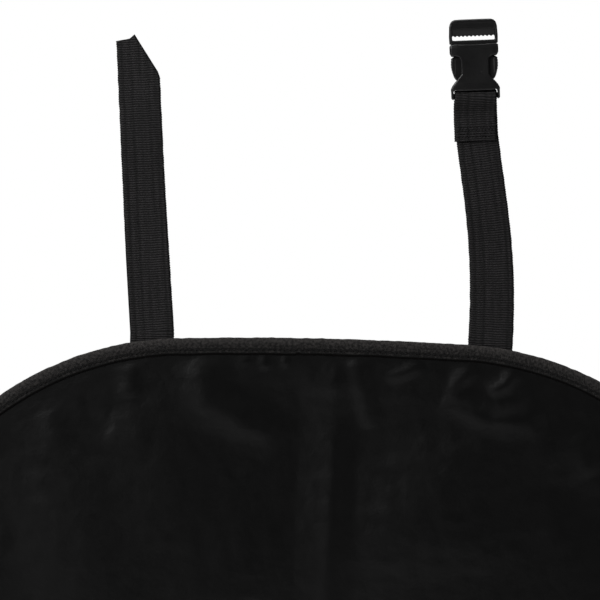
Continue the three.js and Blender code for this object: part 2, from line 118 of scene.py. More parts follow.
def waves(x, z, wavelength, seed, count=7):
    """A smooth random field of about -1 to 1: sine waves of nearly one length in many directions."""
    rng = np.random.default_rng(seed)
    total = np.zeros(np.broadcast(x, z).shape)
    for _ in range(count):
        angle = rng.uniform(0, math.pi)
        number = 2 * math.pi / (wavelength * rng.uniform(0.7, 1.4))
        phase = rng.uniform(0, 2 * math.pi)
        total += np.sin(number * (x * math.cos(angle) + z * math.sin(angle)) + phase)
    return total / math.sqrt(2 * count)


def wander(run, wavelength, seed):
    """The same along a line."""
    return waves(run, 0 * run, wavelength, seed)


def length_run(points):
    """The length of a line of points up to each of them."""
    return np.concatenate([[0], np.cumsum(np.linalg.norm(np.diff(points, axis=0), axis=1))])


def unit(vectors):
    return vectors / np.linalg.norm(vectors, axis=1)[:, None]


def resampled(points, step):
    """A line of points made even, with the length run to each."""
    points = np.asarray(points, float)
    run = length_run(points)
    at = np.linspace(0, run[-1], round(run[-1] / step) + 1)
    return np.stack([np.interp(at, run, column) for column in points.T], 1), at


def bezier(a, b, c, d, count=120):
    t = np.linspace(0, 1, count)[:, None]
    a, b, c, d = (np.asarray(point, float) for point in (a, b, c, d))
    return (1 - t) ** 3 * a + 3 * (1 - t) ** 2 * t * b + 3 * (1 - t) * t**2 * c + t**3 * d


def arc(centre, radius, start, end, count=200):
    """Points on an arc, and their outward normals."""
    angles = np.linspace(start, end, count)
    normals = as_points(np.cos(angles), np.sin(angles))
    return centre + radius * normals, normals


def line(start, end, normal, count=50):
    share = np.linspace(0, 1, count)[:, None]
    return start + share * (end - start), np.tile(normal, (count, 1))


# ---- Meshes ----
def make_mesh(name, points, faces, uv=None):
    """An object from points in millimetres. uv, if given, holds one coordinate pair for each point."""
    mesh = bpy.data.meshes.new(name)
    mesh.from_pydata((np.asarray(points, float) * MM).tolist(), [], [list(face) for face in faces])
    if uv is not None:
        layer = mesh.uv_layers.new(name="UVMap")
        corners = np.zeros(len(mesh.loops), np.int32)
        mesh.loops.foreach_get("vertex_index", corners)
        layer.data.foreach_set("uv", (np.asarray(uv, float)[corners] * MM).astype(np.float32).ravel())
    mesh.polygons.foreach_set("use_smooth", [True] * len(mesh.polygons))
    piece = bpy.data.objects.new(name, mesh)
    bpy.context.scene.collection.objects.link(piece)
    return piece


def stand_in(piece, node, body):
    """Puts a piece in the place of a CAD node, and has it ride on that node's body."""
    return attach(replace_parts(piece, node), body)


def grid_faces(rows, columns, wrap_rows=False, wrap_columns=False):
    """Quads of a grid of points stored row by row."""
    r = np.arange(rows if wrap_rows else rows - 1)
    c = np.arange(columns if wrap_columns else columns - 1)
    r, c = (values.ravel() for values in np.meshgrid(r, c, indexing="ij"))
    r_next, c_next = (r + 1) % rows, (c + 1) % columns
    corners = ((r, c), (r, c_next), (r_next, c_next), (r_next, c))
    return np.stack([row * columns + column for row, column in corners], 1)


def loft_faces(rows, columns, closed=False):
    """Faces over a row of closed loops, with end caps unless the row itself closes."""
    faces = [tuple(face) for face in grid_faces(rows, columns, closed, True)]
    if not closed:
        faces.append(tuple(range(columns))[::-1])
        faces.append(tuple(range((rows - 1) * columns, rows * columns)))
    return faces


def facing_out(points, faces):
    """The faces, turned over if they face into the closed mesh."""
    quads = np.array([face for face in faces if len(face) == 4])
    a, b, c, d = (np.asarray(points, float)[quads[:, k]] for k in range(4))
    volume = np.einsum("ij,ij->", np.cross(a, b), c) + np.einsum("ij,ij->", np.cross(a, c), d)
    return [tuple(face)[::-1] for face in faces] if volume < 0 else [tuple(face) for face in faces]


def lofted(name, loops, uv, closed=False):
    """A solid skinned over a row of closed loops."""
    points = loops.reshape(-1, 3)
    faces = loft_faces(*loops.shape[:2], closed)
    return make_mesh(name, points, facing_out(points, faces), uv.reshape(-1, 2))


# ---- The panel's outline ----
CROWN_ANGLE = math.asin(CROWN_HALF_WIDTH / CROWN_RADIUS)
CROWN_CENTRE = np.array([0, APRON_LENGTH - CROWN_RADIUS])
CROWN_END = np.array([math.sin(CROWN_ANGLE), math.cos(CROWN_ANGLE)])
SHOULDER_CENTRE = CROWN_CENTRE + (CROWN_RADIUS - SHOULDER_RADIUS) * CROWN_END
SIDE_NORMAL = np.array([math.cos(FLARE), math.sin(FLARE)])
SIDE_OFFSET = SHOULDER_CENTRE @ SIDE_NORMAL + SHOULDER_RADIUS
CORNER_X = (SIDE_OFFSET - HEM_CORNER_RADIUS * (1 + SIDE_NORMAL[1])) / SIDE_NORMAL[0]
CORNER_CENTRE = np.array([CORNER_X, HEM_CORNER_RADIUS])
# Each rounding's centre and radius, and whether it lies above its centre (1) or below (-1)
ROUNDINGS = ((SHOULDER_CENTRE, SHOULDER_RADIUS, 1), (CORNER_CENTRE, HEM_CORNER_RADIUS, -1))


def half_outline():
    """Points and outward normals in (x, z), down the right-hand edge from the top centre to the hem's."""
    quarter = math.pi / 2
    hem = np.array([0, -1.0])
    side_top = SHOULDER_CENTRE + SHOULDER_RADIUS * SIDE_NORMAL
    side_foot = CORNER_CENTRE + HEM_CORNER_RADIUS * SIDE_NORMAL
    parts = [
        arc(CROWN_CENTRE, CROWN_RADIUS, quarter, quarter - CROWN_ANGLE),
        arc(SHOULDER_CENTRE, SHOULDER_RADIUS, quarter - CROWN_ANGLE, FLARE),
        line(side_top, side_foot, SIDE_NORMAL),
        arc(CORNER_CENTRE, HEM_CORNER_RADIUS, FLARE, -quarter),
        line(CORNER_CENTRE + HEM_CORNER_RADIUS * hem, np.zeros(2), hem),
    ]
    points, normals = zip(*parts)
    return np.concatenate(points), np.concatenate(normals)


def whole_outline(step):
    """Evenly spaced points, outward normals and lengths run, clockwise round the edge from the top centre."""
    points, normals = half_outline()
    mirror = np.array([-1, 1])
    points = np.concatenate([points, points[::-1] * mirror])
    normals = np.concatenate([normals, normals[::-1] * mirror])
    run = length_run(points)
    keep = np.concatenate([[True], np.diff(run) > 1e-9])
    count = round(run[-1] / step)
    at = np.arange(count) * run[-1] / count
    columns = [np.interp(at, run[keep], values[keep]) for values in (*points.T, *normals.T)]
    return np.stack(columns[:2], 1), np.stack(columns[2:], 1), at


def edge_distance(x, z):
    """How far a point of the panel lies inside the outline."""
    x = np.abs(x)
    distance = np.minimum(CROWN_RADIUS - np.hypot(x - CROWN_CENTRE[0], z - CROWN_CENTRE[1]), z)
    distance = np.minimum(distance, SIDE_OFFSET - x * SIDE_NORMAL[0] - z * SIDE_NORMAL[1])
    for centre, radius, above in ROUNDINGS:
        outside = (x > centre[0]) & (above * (z - centre[1]) > 0)
        rounded = radius - np.hypot(x - centre[0], z - centre[1])
        distance = np.where(outside, np.minimum(distance, rounded), distance)
    return distance


def panel_reach(z, inset):
    """Half the panel's width at height z, drawn in from the outline by inset."""
    z = np.asarray(z, float)
    side = (SIDE_OFFSET - inset - z * SIDE_NORMAL[1]) / SIDE_NORMAL[0]
    for centre, radius, above in ROUNDINGS:
        rise = above * (z - centre[1])
        rounded = centre[0] + np.sqrt(np.maximum((radius - inset) ** 2 - rise**2, 0))
        side = np.where(rise > 0, np.minimum(side, rounded), side)
    return side


# ---- How the cloth lies ----
CORE = 24  # the panel's columns keep their spacing within this distance of the centre crease
CORE_SHARE = 0.16
GRID_INSET = 3
GRID_LOW = GRID_INSET
GRID_HIGH = APRON_LENGTH - 8

SIM_ROWS, SIM_COLUMNS = 96, 81
SIM_FRAMES = 30
SHRINKAGE = 0.006  # the cloth is this share larger than the binding that holds it
SLACK_LIMIT = 4


def column_x(u, z):
    """The x of grid column u, from -1 to 1, at height z."""
    outer = CORE + (panel_reach(z, GRID_INSET) - CORE) * (np.abs(u) - CORE_SHARE) / (1 - CORE_SHARE)
    return np.where(np.abs(u) < CORE_SHARE, u * CORE / CORE_SHARE, np.sign(u) * outer)


def column_u(x, z):
    """The grid column at x and height z: column_x turned round."""
    outer = CORE_SHARE + (np.abs(x) - CORE) * (1 - CORE_SHARE) / (panel_reach(z, GRID_INSET) - CORE)
    return np.where(np.abs(x) < CORE, x * CORE_SHARE / CORE, np.sign(x) * np.clip(outer, 0, 1))


def simulated_slack():
    """The cloth held by its shorter binding: it buckles into the shapes that a bound nylon panel lies in."""
    u, z = np.meshgrid(np.linspace(-1, 1, SIM_COLUMNS), np.linspace(GRID_LOW, GRID_HIGH, SIM_ROWS))
    x = column_x(u, z)
    points = as_points(x, 0.5 * waves(x, z, 90, 11), z).reshape(-1, 3)
    cloth = make_mesh("slack_cloth", points, grid_faces(SIM_ROWS, SIM_COLUMNS))
    pins = cloth.vertex_groups.new(name="pins")
    held = np.nonzero(edge_distance(points[:, 0], points[:, 2]) < BINDING_WIDTH + 2)[0]
    pins.add(held.tolist(), 1.0, "REPLACE")
    modifier = cloth.modifiers.new("Cloth", "CLOTH")
    settings = modifier.settings
    settings.quality = 6
    settings.mass = 0.12
    settings.tension_stiffness = settings.compression_stiffness = 25
    settings.shear_stiffness = 12
    settings.bending_stiffness = 1.2
    settings.air_damping = 3
    settings.shrink_min = settings.shrink_max = -SHRINKAGE
    settings.vertex_group_mass = "pins"
    settings.effector_weights.gravity = 0
    modifier.collision_settings.use_collision = False
    modifier.point_cache.frame_start, modifier.point_cache.frame_end = 1, SIM_FRAMES
    for number in range(1, SIM_FRAMES + 1):
        bpy.context.scene.frame_set(number)
    shape = cloth.evaluated_get(bpy.context.evaluated_depsgraph_get()).data
    moved = np.zeros(len(points) * 3, np.float32)
    shape.vertices.foreach_get("co", moved)
    bpy.data.objects.remove(cloth)
    bpy.context.scene.frame_set(1)
    slack = moved.reshape(SIM_ROWS, SIM_COLUMNS, 3)[:, :, 1] / MM
    return np.clip(slack, -SLACK_LIMIT, SLACK_LIMIT)


SLACK = simulated_slack()
SLACK_SHARE = 0.32


def slack_at(x, z):
    """The simulated shape at any point of the panel."""
    if SLACK is None:
        return 1.2 * waves(x, z, 110, 12) * smooth_step(edge_distance(x, z), BINDING_WIDTH, 60)
    column = (column_u(x, z) + 1) / 2 * (SIM_COLUMNS - 1)
    row = np.clip((z - GRID_LOW) / (GRID_HIGH - GRID_LOW), 0, 1) * (SIM_ROWS - 1)
    c = np.clip(column.astype(int), 0, SIM_COLUMNS - 2)
    r = np.clip(row.astype(int), 0, SIM_ROWS - 2)
    s, t = column - c, row - r
    lower, upper = (SLACK[at, c] * (1 - s) + SLACK[at, c + 1] * s for at in (r, r + 1))
    return lower * (1 - t) + upper * t


# Folds pulled in the cloth by the binding's stitches: points along each crest, as x and height from the top
# edge's middle, with the fold's half-width and height
FOLDS = [
    ([(-112, -16), (-111, -38)], 5, 0.6),
    ([(-124, -54), (-98, -61)], 12, 0.55),
    ([(-74, -12), (-66, -38), (-20, -60)], 10, 1.5),
    ([(-36, -10), (-33, -19)], 2.4, 0.5),
    ([(-23, -9), (-21, -17)], 2.2, 0.5),
    ([(-48, -10), (-44, -16)], 3, 0.4),
    ([(15, -10), (20, -18), (28, -52)], 5.5, 1.0),
    ([(36, -22), (47, -19), (58, -12)], 3.6, 0.7),
    ([(72, -30), (79, -22), (88, -13)], 4.5, 0.8),
    ([(96, -30), (105, -24), (112, -13)], 4.2, 1.1),
    ([(68, -33), (96, -44), (130, -45)], 7, 1.4),
    ([(-160, -45), (-150, -70)], 9, 0.5),
    ([(146, -52), (156, -76)], 9, 0.6),
    ([(-205, -118), (-180, -128)], 12, 0.6),
    ([(206, -128), (178, -140)], 13, 0.7),
]
FOLD_STRENGTH = 1.7

CREASE_LEFT, CREASE_TOP, CREASE_RIGHT = -14.5, 6.5, 22
CREASE_RISE = 2.5
VALLEY_DEPTH, VALLEY_HALF = 3.7, 42
PILLOW = 4.2


def fold(x, height, crest, width, rise):
    """One soft fold along its crest, which fades out towards both ends."""
    crest = np.array(crest, float)
    nearest = np.full(x.shape, np.inf)
    along = np.zeros(x.shape)
    run = 0
    for start, end in zip(crest[:-1], crest[1:]):
        span = np.hypot(*(end - start))
        way = (end - start) / span
        t = np.clip((x - start[0]) * way[0] + (height - start[1]) * way[1], 0, span)
        distance = np.hypot(x - start[0] - t * way[0], height - start[1] - t * way[1])
        along = np.where(distance < nearest, run + t, along)
        nearest = np.minimum(nearest, distance)
        run += span
    fade = 1 - np.abs(2 * along / run - 1) ** 3
    return rise * fade * hump(nearest, 0, width)


def centre_crease(x, z):
    """The band left by folding the apron in half: sharp on its left, rounded on its right, and crooked."""
    x = x + 0.7 * np.sin(z / 61) + 0.5 * np.sin(z / 23)
    rise = np.clip((x - CREASE_LEFT) / (CREASE_TOP - CREASE_LEFT), 0, 1) ** 1.1
    fall = smooth_step(x, CREASE_TOP - 4, CREASE_RIGHT)
    return CREASE_RISE * (rise - fall * rise)


def pillow(x, inside):
    """Each half bulges forward a little between the binding and the centre crease."""
    valley = VALLEY_DEPTH * hump(x, 0, VALLEY_HALF)
    return PILLOW * smooth_step(inside, 0, 130) - valley * smooth_step(inside, 10, 50)


def cloth_y(x, z):
    """The depth of the cloth's middle. It is flat at the binding, and further in lies in folds and slack."""
    x, z = np.broadcast_arrays(np.asarray(x, float), np.asarray(z, float))
    inside = edge_distance(x, z)
    free = smooth_step(inside, BINDING_WIDTH - 1.5, BINDING_WIDTH + 5)
    ridges = centre_crease(x, z) * smooth_step(inside, BINDING_WIDTH - 2, 30) + pillow(x, inside)
    for crest, width, rise in FOLDS:
        ridges = ridges + fold(x, z - APRON_LENGTH, crest, width, FOLD_STRENGTH * rise)
    crinkle = 0.10 * waves(x, z, 17, 3) + 0.035 * waves(x, z, 7, 4)
    curl = 2.6 * waves(x, z, 230, 8) * (1 - smooth_step(z, 120, 400))
    quiet = SLACK_SHARE * (0.35 + 0.65 * smooth_step(np.abs(x), 10, 40)) * smooth_step(inside, 12, 70)
    return CLOTH_Y + free * (quiet * slack_at(x, z) + crinkle - ridges) + curl


def across_fold(piece, *nodes):
    """Puts a piece that runs over the centre crease in its nodes' place."""
    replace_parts(piece, *nodes)
    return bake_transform(piece)


def sheet_shell(name, x, z, front, back):
    """A closed thin sheet over a grid of (x, z), with its front and back given as depths."""
    points = np.concatenate([as_points(x, y, z).reshape(-1, 3) for y in (front, back)])
    index = np.arange(x.size).reshape(x.shape)
    rim = np.concatenate([index[0], index[1:, -1], index[-1, -2::-1], index[-2:0:-1, 0]])
    rim_next = np.roll(rim, -1)
    walls = np.stack([rim_next, rim, rim + x.size, rim_next + x.size], 1)
    faces = grid_faces(*x.shape)
    all_faces = np.concatenate([faces, faces[:, ::-1] + x.size, walls])
    return make_mesh(name, points, facing_out(points, all_faces), points[:, [0, 2]])


CREASED_DEPTH = 175  # the panel's rows are finer down to here, where its folds are
FINE_ROWS, COARSE_ROWS = 90, 118
CORE_COLUMNS, OUTER_COLUMNS = 37, 94


def panel():
    finer_from = APRON_LENGTH - CREASED_DEPTH
    lower = np.linspace(GRID_LOW, finer_from, COARSE_ROWS, endpoint=False)
    upper = np.linspace(finer_from, GRID_HIGH, FINE_ROWS)
    centre = np.linspace(-CORE_SHARE, CORE_SHARE, CORE_COLUMNS)
    outer = np.linspace(CORE_SHARE, 1, OUTER_COLUMNS + 1)[1:]
    u, z = np.meshgrid(np.concatenate([-outer[::-1], centre, outer]), np.concatenate([lower, upper]))
    x = column_x(u, z)
    middle = cloth_y(x, z)
    piece = sheet_shell("panel", x, z, middle - CLOTH_HALF, middle + CLOTH_HALF)
    return across_fold(piece, "panel_left", "panel_right")


# ---- Tape and stitches ----
TAPE_FACE_POINTS = 14
TAPE_TURN_POINTS = 7
TAPE_LINING_POINTS = 5
TAPE_TURN = 1.3  # how far in from its edge a tape starts to turn over
TAPE_STEP = 1.2
STITCH_SIDES = 8
STITCH_RISE = 0.16
# A stitch's spine as shares of half its length, of its rise and of its thickness
STITCH_ALONG = np.array([-1, -0.82, -0.4, 0, 0.4, 0.82, 1])
STITCH_LIFT = np.array([-1.7, -0.5, 0.75, 1, 0.75, -0.5, -1.7])
STITCH_THICKNESS = np.array([0.45, 0.9, 1, 1, 1, 0.9, 0.45])


def tape_height(inset, inner, run):
    """The tape's outer face above the cloth's middle: pushed down by its stitches and at its inner edge."""
    dimple = 0.10 + 0.10 * np.cos(2 * math.pi * run / STITCH_PITCH)
    groove = (0.2 + dimple) * hump(inset, SEAM_INSET, 0.75)
    dome = 0.35 * smooth_step(inset, 3.2, SEAM_INSET + 2)
    shoulder = 0.60 * (1 - smooth_step(inset, 0, 4.2))
    rolled = 0.50 * smooth_step(inset, SEAM_INSET - 0.5, inner + 0.6)
    bulge = 0.05 * waves(run, inset * 3, 11, 21)
    return BINDING_HALF - groove - dome - shoulder - rolled + bulge


def tape_loops(inner, run):
    """Loops of (inset, height) round a folded tape's section, one for each place along it."""
    share = np.linspace(0, 1, TAPE_FACE_POINTS)
    face = inner[:, None] + (TAPE_TURN - inner[:, None]) * share
    height = tape_height(face, inner[:, None], run[:, None])
    angle = np.linspace(-math.pi / 2, math.pi / 2, TAPE_TURN_POINTS + 2)[1:-1]
    fuzz = 0.13 * waves(run[:, None], 20 * angle, 3.4, 22) + 0.12 * wander(run, 9, 23)[:, None]
    turn = TAPE_TURN - (TAPE_TURN + fuzz) * np.cos(angle)
    keep = np.linspace(TAPE_FACE_POINTS - 1, 0, TAPE_LINING_POINTS).astype(int)
    low = height[:, keep] - TAPE
    inset = [face, turn, face[:, ::-1], face[:, keep[::-1]], face[:, keep]]
    heights = [-height, height[:, -1:] * np.sin(angle), height[:, ::-1], low[:, ::-1], -low]
    return np.concatenate(inset, 1), np.concatenate(heights, 1)


def edge_binding():
    place, normal, run = whole_outline(TAPE_STEP)
    inner = BINDING_WIDTH + 0.22 * wander(run, 38, 24)
    notch = hump(place[:, 0], CREASE_LEFT, 1.3) * (place[:, 1] > APRON_LENGTH / 2)
    inset, height = tape_loops(inner - 0.7 * notch, run)
    x = place[:, :1] - inset * normal[:, :1]
    z = place[:, 1:] - inset * normal[:, 1:]
    y = cloth_y(place[:, :1] - normal[:, :1], place[:, 1:] - normal[:, 1:]) + height
    side = np.cumsum(np.hypot(np.diff(inset, axis=1, prepend=inset[:, :1]), 0.2), 1)
    uv = as_points(run[:, None], side)
    piece = lofted("edge_binding", as_points(x, y, z), uv, closed=True)
    return across_fold(piece, "edge_binding_left", "edge_binding_right")


def stitches(name, centres, ways, outs, length=2.5, radius=0.24, seed=31):
    """Separate stitches: short bent threads whose ends dive into the cloth."""
    centres, ways, outs = np.broadcast_arrays(centres, ways, outs)
    turn = np.random.default_rng(seed).normal(0, 0.05, len(ways))[:, None]
    ways = ways + turn * np.cross(ways, outs)
    across = np.cross(ways, outs)
    along = (STITCH_ALONG * length / 2)[None, :, None]
    lift = (STITCH_LIFT * STITCH_RISE)[None, :, None]
    thick = (STITCH_THICKNESS * radius)[None, :, None, None]
    angle = np.arange(STITCH_SIDES) * 2 * math.pi / STITCH_SIDES
    spine = centres[:, None] + along * ways[:, None] + lift * outs[:, None]
    ring = np.cos(angle)[:, None] * across[:, None] + np.sin(angle)[:, None] * outs[:, None]
    points = spine[:, :, None] + thick * ring[:, None]
    tube = facing_out(points[0].reshape(-1, 3), loft_faces(len(STITCH_ALONG), STITCH_SIDES))
    count = len(STITCH_ALONG) * STITCH_SIDES
    faces = [tuple(index + k * count for index in face) for k in range(len(centres)) for face in tube]
    uv = as_points(along, np.broadcast_to(angle * radius, points.shape[:3]))
    return make_mesh(name, points.reshape(-1, 3), faces, uv.reshape(-1, 2))


def binding_seam():
    """The line of stitches that holds the binding, seen on the front and on the back."""
    place, normal, run = whole_outline(STITCH_PITCH)
    x, z = (place - SEAM_INSET * normal).T
    way = as_points(normal[:, 1], 0, -normal[:, 0])
    middle = cloth_y(*(place - normal).T)
    rise = tape_height(SEAM_INSET, BINDING_WIDTH, run + STITCH_PITCH / 2) + 0.02
    sides = []
    for side in (-1, 1):
        sides.append((as_points(x, middle + side * rise, z), way, np.tile([0, side, 0], (len(x), 1))))
    piece = stitches("binding_stitches", *map(np.concatenate, zip(*sides)))
    return across_fold(piece, "binding_seam_left", "binding_seam_right")


# ---- Pockets ----
POCKET_CORNER = 20
POCKET_SEWN = 3  # width of the turned hem that is sewn down
POCKET_SEAM = 2.2
POCKET_BULGE = 2.1
POCKET_ROWS, POCKET_COLUMNS = 72, 66


class Pocket:
    """One patch pocket: its outline, and how far its cloth stands off the panel."""

    def __init__(self, side):
        self.side = side
        self.body = f"{side}_half"
        low, high = node_box(f"pocket_{side}")
        self.left, self.right = low[0], high[0]
        self.foot, self.mouth = low[2], high[2]
        self.centre = (self.left + self.right) / 2
        self.half = (self.right - self.left) / 2

    def half_width(self, z):
        drop = np.clip(self.foot + POCKET_CORNER - z, 0, POCKET_CORNER)
        return self.half - POCKET_CORNER + np.sqrt(np.maximum(POCKET_CORNER**2 - drop**2, 0))

    def inside(self, x, z):
        """Distance in from the sewn sides and foot."""
        offset = np.abs(x - self.centre)
        edge = np.minimum(self.half - offset, z - self.foot)
        corner_x, corner_z = self.half - POCKET_CORNER, self.foot + POCKET_CORNER
        rounded = POCKET_CORNER - np.hypot(offset - corner_x, z - corner_z)
        return np.where((offset > corner_x) & (z < corner_z), rounded, edge)

    def middle(self, x, z):
        """The depth of the pocket cloth's middle, which stands off the panel's."""
        inside = self.inside(x, z)
        sewn = CLOTH_HALF * 2.2 + 0.45 * (1 - smooth_step(inside, POCKET_SEWN - 1, POCKET_SEWN + 1))
        height = 0.35 + 0.65 * smooth_step(z, self.foot + 10, self.mouth)
        slack = 1 + 0.35 * waves(x, z, 70, 41 if self.side == "left" else 42)
        return cloth_y(x, z) - sewn - POCKET_BULGE * height * slack * smooth_step(inside, POCKET_SEWN, 34)

    def cloth(self):
        rows = self.foot + (self.mouth - self.foot) * np.linspace(0, 1, POCKET_ROWS) ** 1.25
        z, u = np.meshgrid(rows, np.linspace(-1, 1, POCKET_COLUMNS), indexing="ij")
        x = self.centre + u * self.half_width(z)
        inside = self.inside(x, z)
        middle = self.middle(x, z)
        hem = 0.25 * (1 - smooth_step(inside, POCKET_SEWN + 1, POCKET_SEWN + 2))
        thickness = (CLOTH_HALF + hem) * smooth_step(inside, -0.1, 0.5)
        front = middle - thickness + 0.14 * hump(inside, POCKET_SEAM, 0.7)
        back = np.minimum(middle + CLOTH_HALF + hem, cloth_y(x, z) - CLOTH_HALF - 0.02)
        piece = sheet_shell(f"pocket_cloth_{self.side}", x, z, front, back)
        return stand_in(piece, f"pocket_{self.side}", self.body)

    def mouth_binding(self):
        low, high = node_box(f"pocket_binding_{self.side}")
        run = np.arange(0, high[0] - low[0] + TAPE_STEP / 2, TAPE_STEP)
        inner = np.full(run.shape, high[2] - low[2]) + 0.15 * wander(run, 30, 43)
        inset, height = tape_loops(inner, run)
        x = (low[0] + run)[:, None]
        z = high[2] - inset
        end_dip = 0.25 * (1 - smooth_step(np.minimum(run, run[-1] - run), 0, 4))
        middle = self.middle(low[0] + run, self.mouth - 2) + end_dip
        y = np.minimum(middle[:, None] + height, cloth_y(x, z) - CLOTH_HALF)
        side = np.cumsum(np.full(inset.shape, 0.7), 1)
        uv = as_points(run[:, None], side)
        piece = lofted(f"pocket_tape_{self.side}", as_points(x, y, z), uv)
        return stand_in(piece, f"pocket_binding_{self.side}", self.body)

    def sewn_line(self):
        """The line of the stitches, from the top of its left side round its foot to the top of its right."""
        radius = POCKET_CORNER - POCKET_SEAM
        left, right = self.left + POCKET_CORNER, self.right - POCKET_CORNER
        corner_z = self.foot + POCKET_CORNER
        first, _ = arc((left, corner_z), radius, math.pi, 1.5 * math.pi)
        second, _ = arc((right, corner_z), radius, 1.5 * math.pi, 2 * math.pi)
        start = [(self.left + POCKET_SEAM, self.mouth)]
        end = [(self.right - POCKET_SEAM, self.mouth)]
        return np.concatenate([start, first, second, end])

    def seam(self):
        """Stitches down both sides and along the foot, and along the mouth's binding."""
        path = self.sewn_line()
        run = length_run(path)
        at = np.arange(STITCH_PITCH / 2, run[-1], STITCH_PITCH)
        x, z = (np.interp(at, run, column) for column in path.T)
        way_x, way_z = (np.interp(at, run, np.gradient(column, run)) for column in path.T)
        y = self.middle(x, z) - CLOTH_HALF - 0.16
        low, high = node_box(f"pocket_binding_{self.side}")
        mouth_x = np.arange(low[0] + 2, high[0] - 1, STITCH_PITCH)
        rise = tape_height(SEAM_INSET, BINDING_WIDTH, mouth_x - low[0])
        mouth_y = self.middle(mouth_x, self.mouth - 2) - rise
        centres = np.concatenate([as_points(x, y, z), as_points(mouth_x, mouth_y, high[2] - SEAM_INSET)])
        ways = np.concatenate([unit(as_points(way_x, 0, way_z)), np.tile([1, 0, 0], (len(mouth_x), 1))])
        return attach(stitches(f"pocket_seam_{self.side}", centres, ways, (0, -1, 0), seed=44), self.body)


# ---- Webbing ----
WEB_STEP = 0.375
WEB_COLUMNS = 23
RIB_HEIGHT = 0.2
GROOVES = (-9.2, -4.4, 0.6, 5.2, 9.4)  # where its lengthwise bands meet, across the webbing
SCALLOP = 0.16  # how far its ribs stand out at its edges

# Lengths along each strap, and its width there
NECK_WIDTHS = ((0, 30, 65, 110, 150, 165), (25.4, 25.8, 25.4, 24.5, 24.3, 24.3))
WAIST_WIDTHS = ((0, 180), (25, 24.3))

# The neck strap's cut tip: lengths left before its end, and how far across it the two cuts have come there
TIP_LEVEL_CUT = ((0, 2.4, 3.3), (-1.6, -4.6, -WEB_WIDTH / 2))
TIP_SLANT_CUT = ((0, 22, 28), (-1.4, 11.1, WEB_WIDTH / 2 + 0.4))

STILL_LENGTH = SEWN_LENGTH + 8  # a strap lies flat from its sewn end to here
NECK_RISE = 4  # a neck strap's free length starts this far above its tab
NECK_STRAP_LEAN = math.radians(7.4)  # of the right strap, where its folded-back end begins

LOOP_RADIUS = 2.55  # of the webbing's middle, round the bar
LOOP_POINTS = 40
TAIL_LENGTH = 26
TAIL_DEPTH = 0.8
TAIL_SHIFT = 0.9  # the folded-back end lies this far to one side of the strap
TAIL_START = 22  # a strap runs straight to the buckle's bar from here


def web_relief(run, across):
    """The woven surface's height: ribs across the webbing, in bands whose ribs are a little out of step."""
    band = np.sum([across > groove for groove in GROOVES], axis=0)
    rib = np.cos(2 * math.pi * run / RIB_PITCH + 0.6 * (band % 2))
    rib = RIB_HEIGHT * (1 - 2 * ((1 - rib) / 2) ** 1.5)
    grooves = sum(hump(across, groove, 0.5) for groove in GROOVES)
    return rib * (1 - 0.6 * np.clip(grooves, 0, 1)) - 0.14 * grooves


def webbing(name, line_points, width_ways, widths, seed, cut=False):
    """Webbing along a line. width_ways gives its across direction at each point of the line; widths gives
    lengths along it, and its width at each; its end may be cut to the tip's two slants."""
    run_in = length_run(line_points)
    at = np.linspace(0, run_in[-1], round(run_in[-1] / WEB_STEP) + 1)
    given = np.concatenate([line_points, width_ways], 1)
    columns = np.stack([np.interp(at, run_in, column) for column in given.T], 1)
    centre, across_way = columns[:, :3], columns[:, 3:]
    tangent = unit(np.gradient(centre, axis=0))
    across_way = unit(across_way - np.sum(across_way * tangent, 1)[:, None] * tangent)
    out = np.cross(tangent, across_way)
    half = np.interp(at, *widths) / 2
    rib = 2 * math.pi * at / RIB_PITCH
    low = -half - SCALLOP * np.cos(rib) - 0.10 * wander(at, 9, seed)
    high = half + SCALLOP * np.cos(rib + 1) + 0.10 * wander(at, 9, seed + 1)
    if cut:
        low = np.maximum(low, np.interp(at[-1] - at, *TIP_LEVEL_CUT))
        high = np.maximum(np.minimum(high, np.interp(at[-1] - at, *TIP_SLANT_CUT)), low + 0.2)
    even = np.linspace(0, 1, WEB_COLUMNS)
    share = ((1 - np.cos(math.pi * even)) / 2 + even) / 2
    across = low[:, None] + (high - low)[:, None] * share
    from_edge = np.minimum(across - low[:, None], high[:, None] - across)
    rounding = WEB_HALF * (1 - 0.62 * np.exp(-from_edge / 0.42))
    height = rounding + web_relief(at[:, None], across) * smooth_step(from_edge, 0, 0.8)
    height[:, [0, -1]] = 0
    inner = slice(-2, 0, -1)
    loop_across = np.concatenate([across, across[:, inner]], 1)
    end_fade = smooth_step(np.minimum(at, at[-1] - at), -0.5, 0.5)[:, None] ** 0.5
    face = np.concatenate([height, -height[:, inner]], 1) * end_fade
    points = centre[:, None] + loop_across[..., None] * across_way[:, None] + face[..., None] * out[:, None]
    piece = lofted(name, points, as_points(at[:, None], loop_across))
    # The weave's height at each point, which the webbing's colour follows as painted highlight and painted
    # shade.
    relief = piece.data.attributes.new("relief", "FLOAT", "POINT")
    relief.data.foreach_set("value", (np.abs(face) - WEB_HALF).astype(np.float32).ravel())
    return piece


def gentle(run, length, rise, seed):
    """A strap's slight lift out of its plane, none at either end."""
    return rise * np.sin(math.pi * np.clip(run / length, 0, 1)) ** 2 * (0.6 + 0.4 * wander(run, 90, seed))


def strap_run(points_xz, rise, twist, seed):
    """A flat strap's line and across directions from points in (x, z), with a little lift and twist."""
    points, at = resampled(points_xz, 1.0)
    way = unit(np.gradient(points, axis=0))
    lift = gentle(at - STILL_LENGTH, at[-1] - STILL_LENGTH, rise, seed)
    turn = gentle(at - STILL_LENGTH, at[-1] - STILL_LENGTH, twist, seed + 1)
    line3 = as_points(points[:, 0], STRAP_Y + lift, points[:, 1])
    across = as_points(way[:, 1] * np.cos(turn), np.sin(turn), -way[:, 0] * np.cos(turn))
    return line3, across


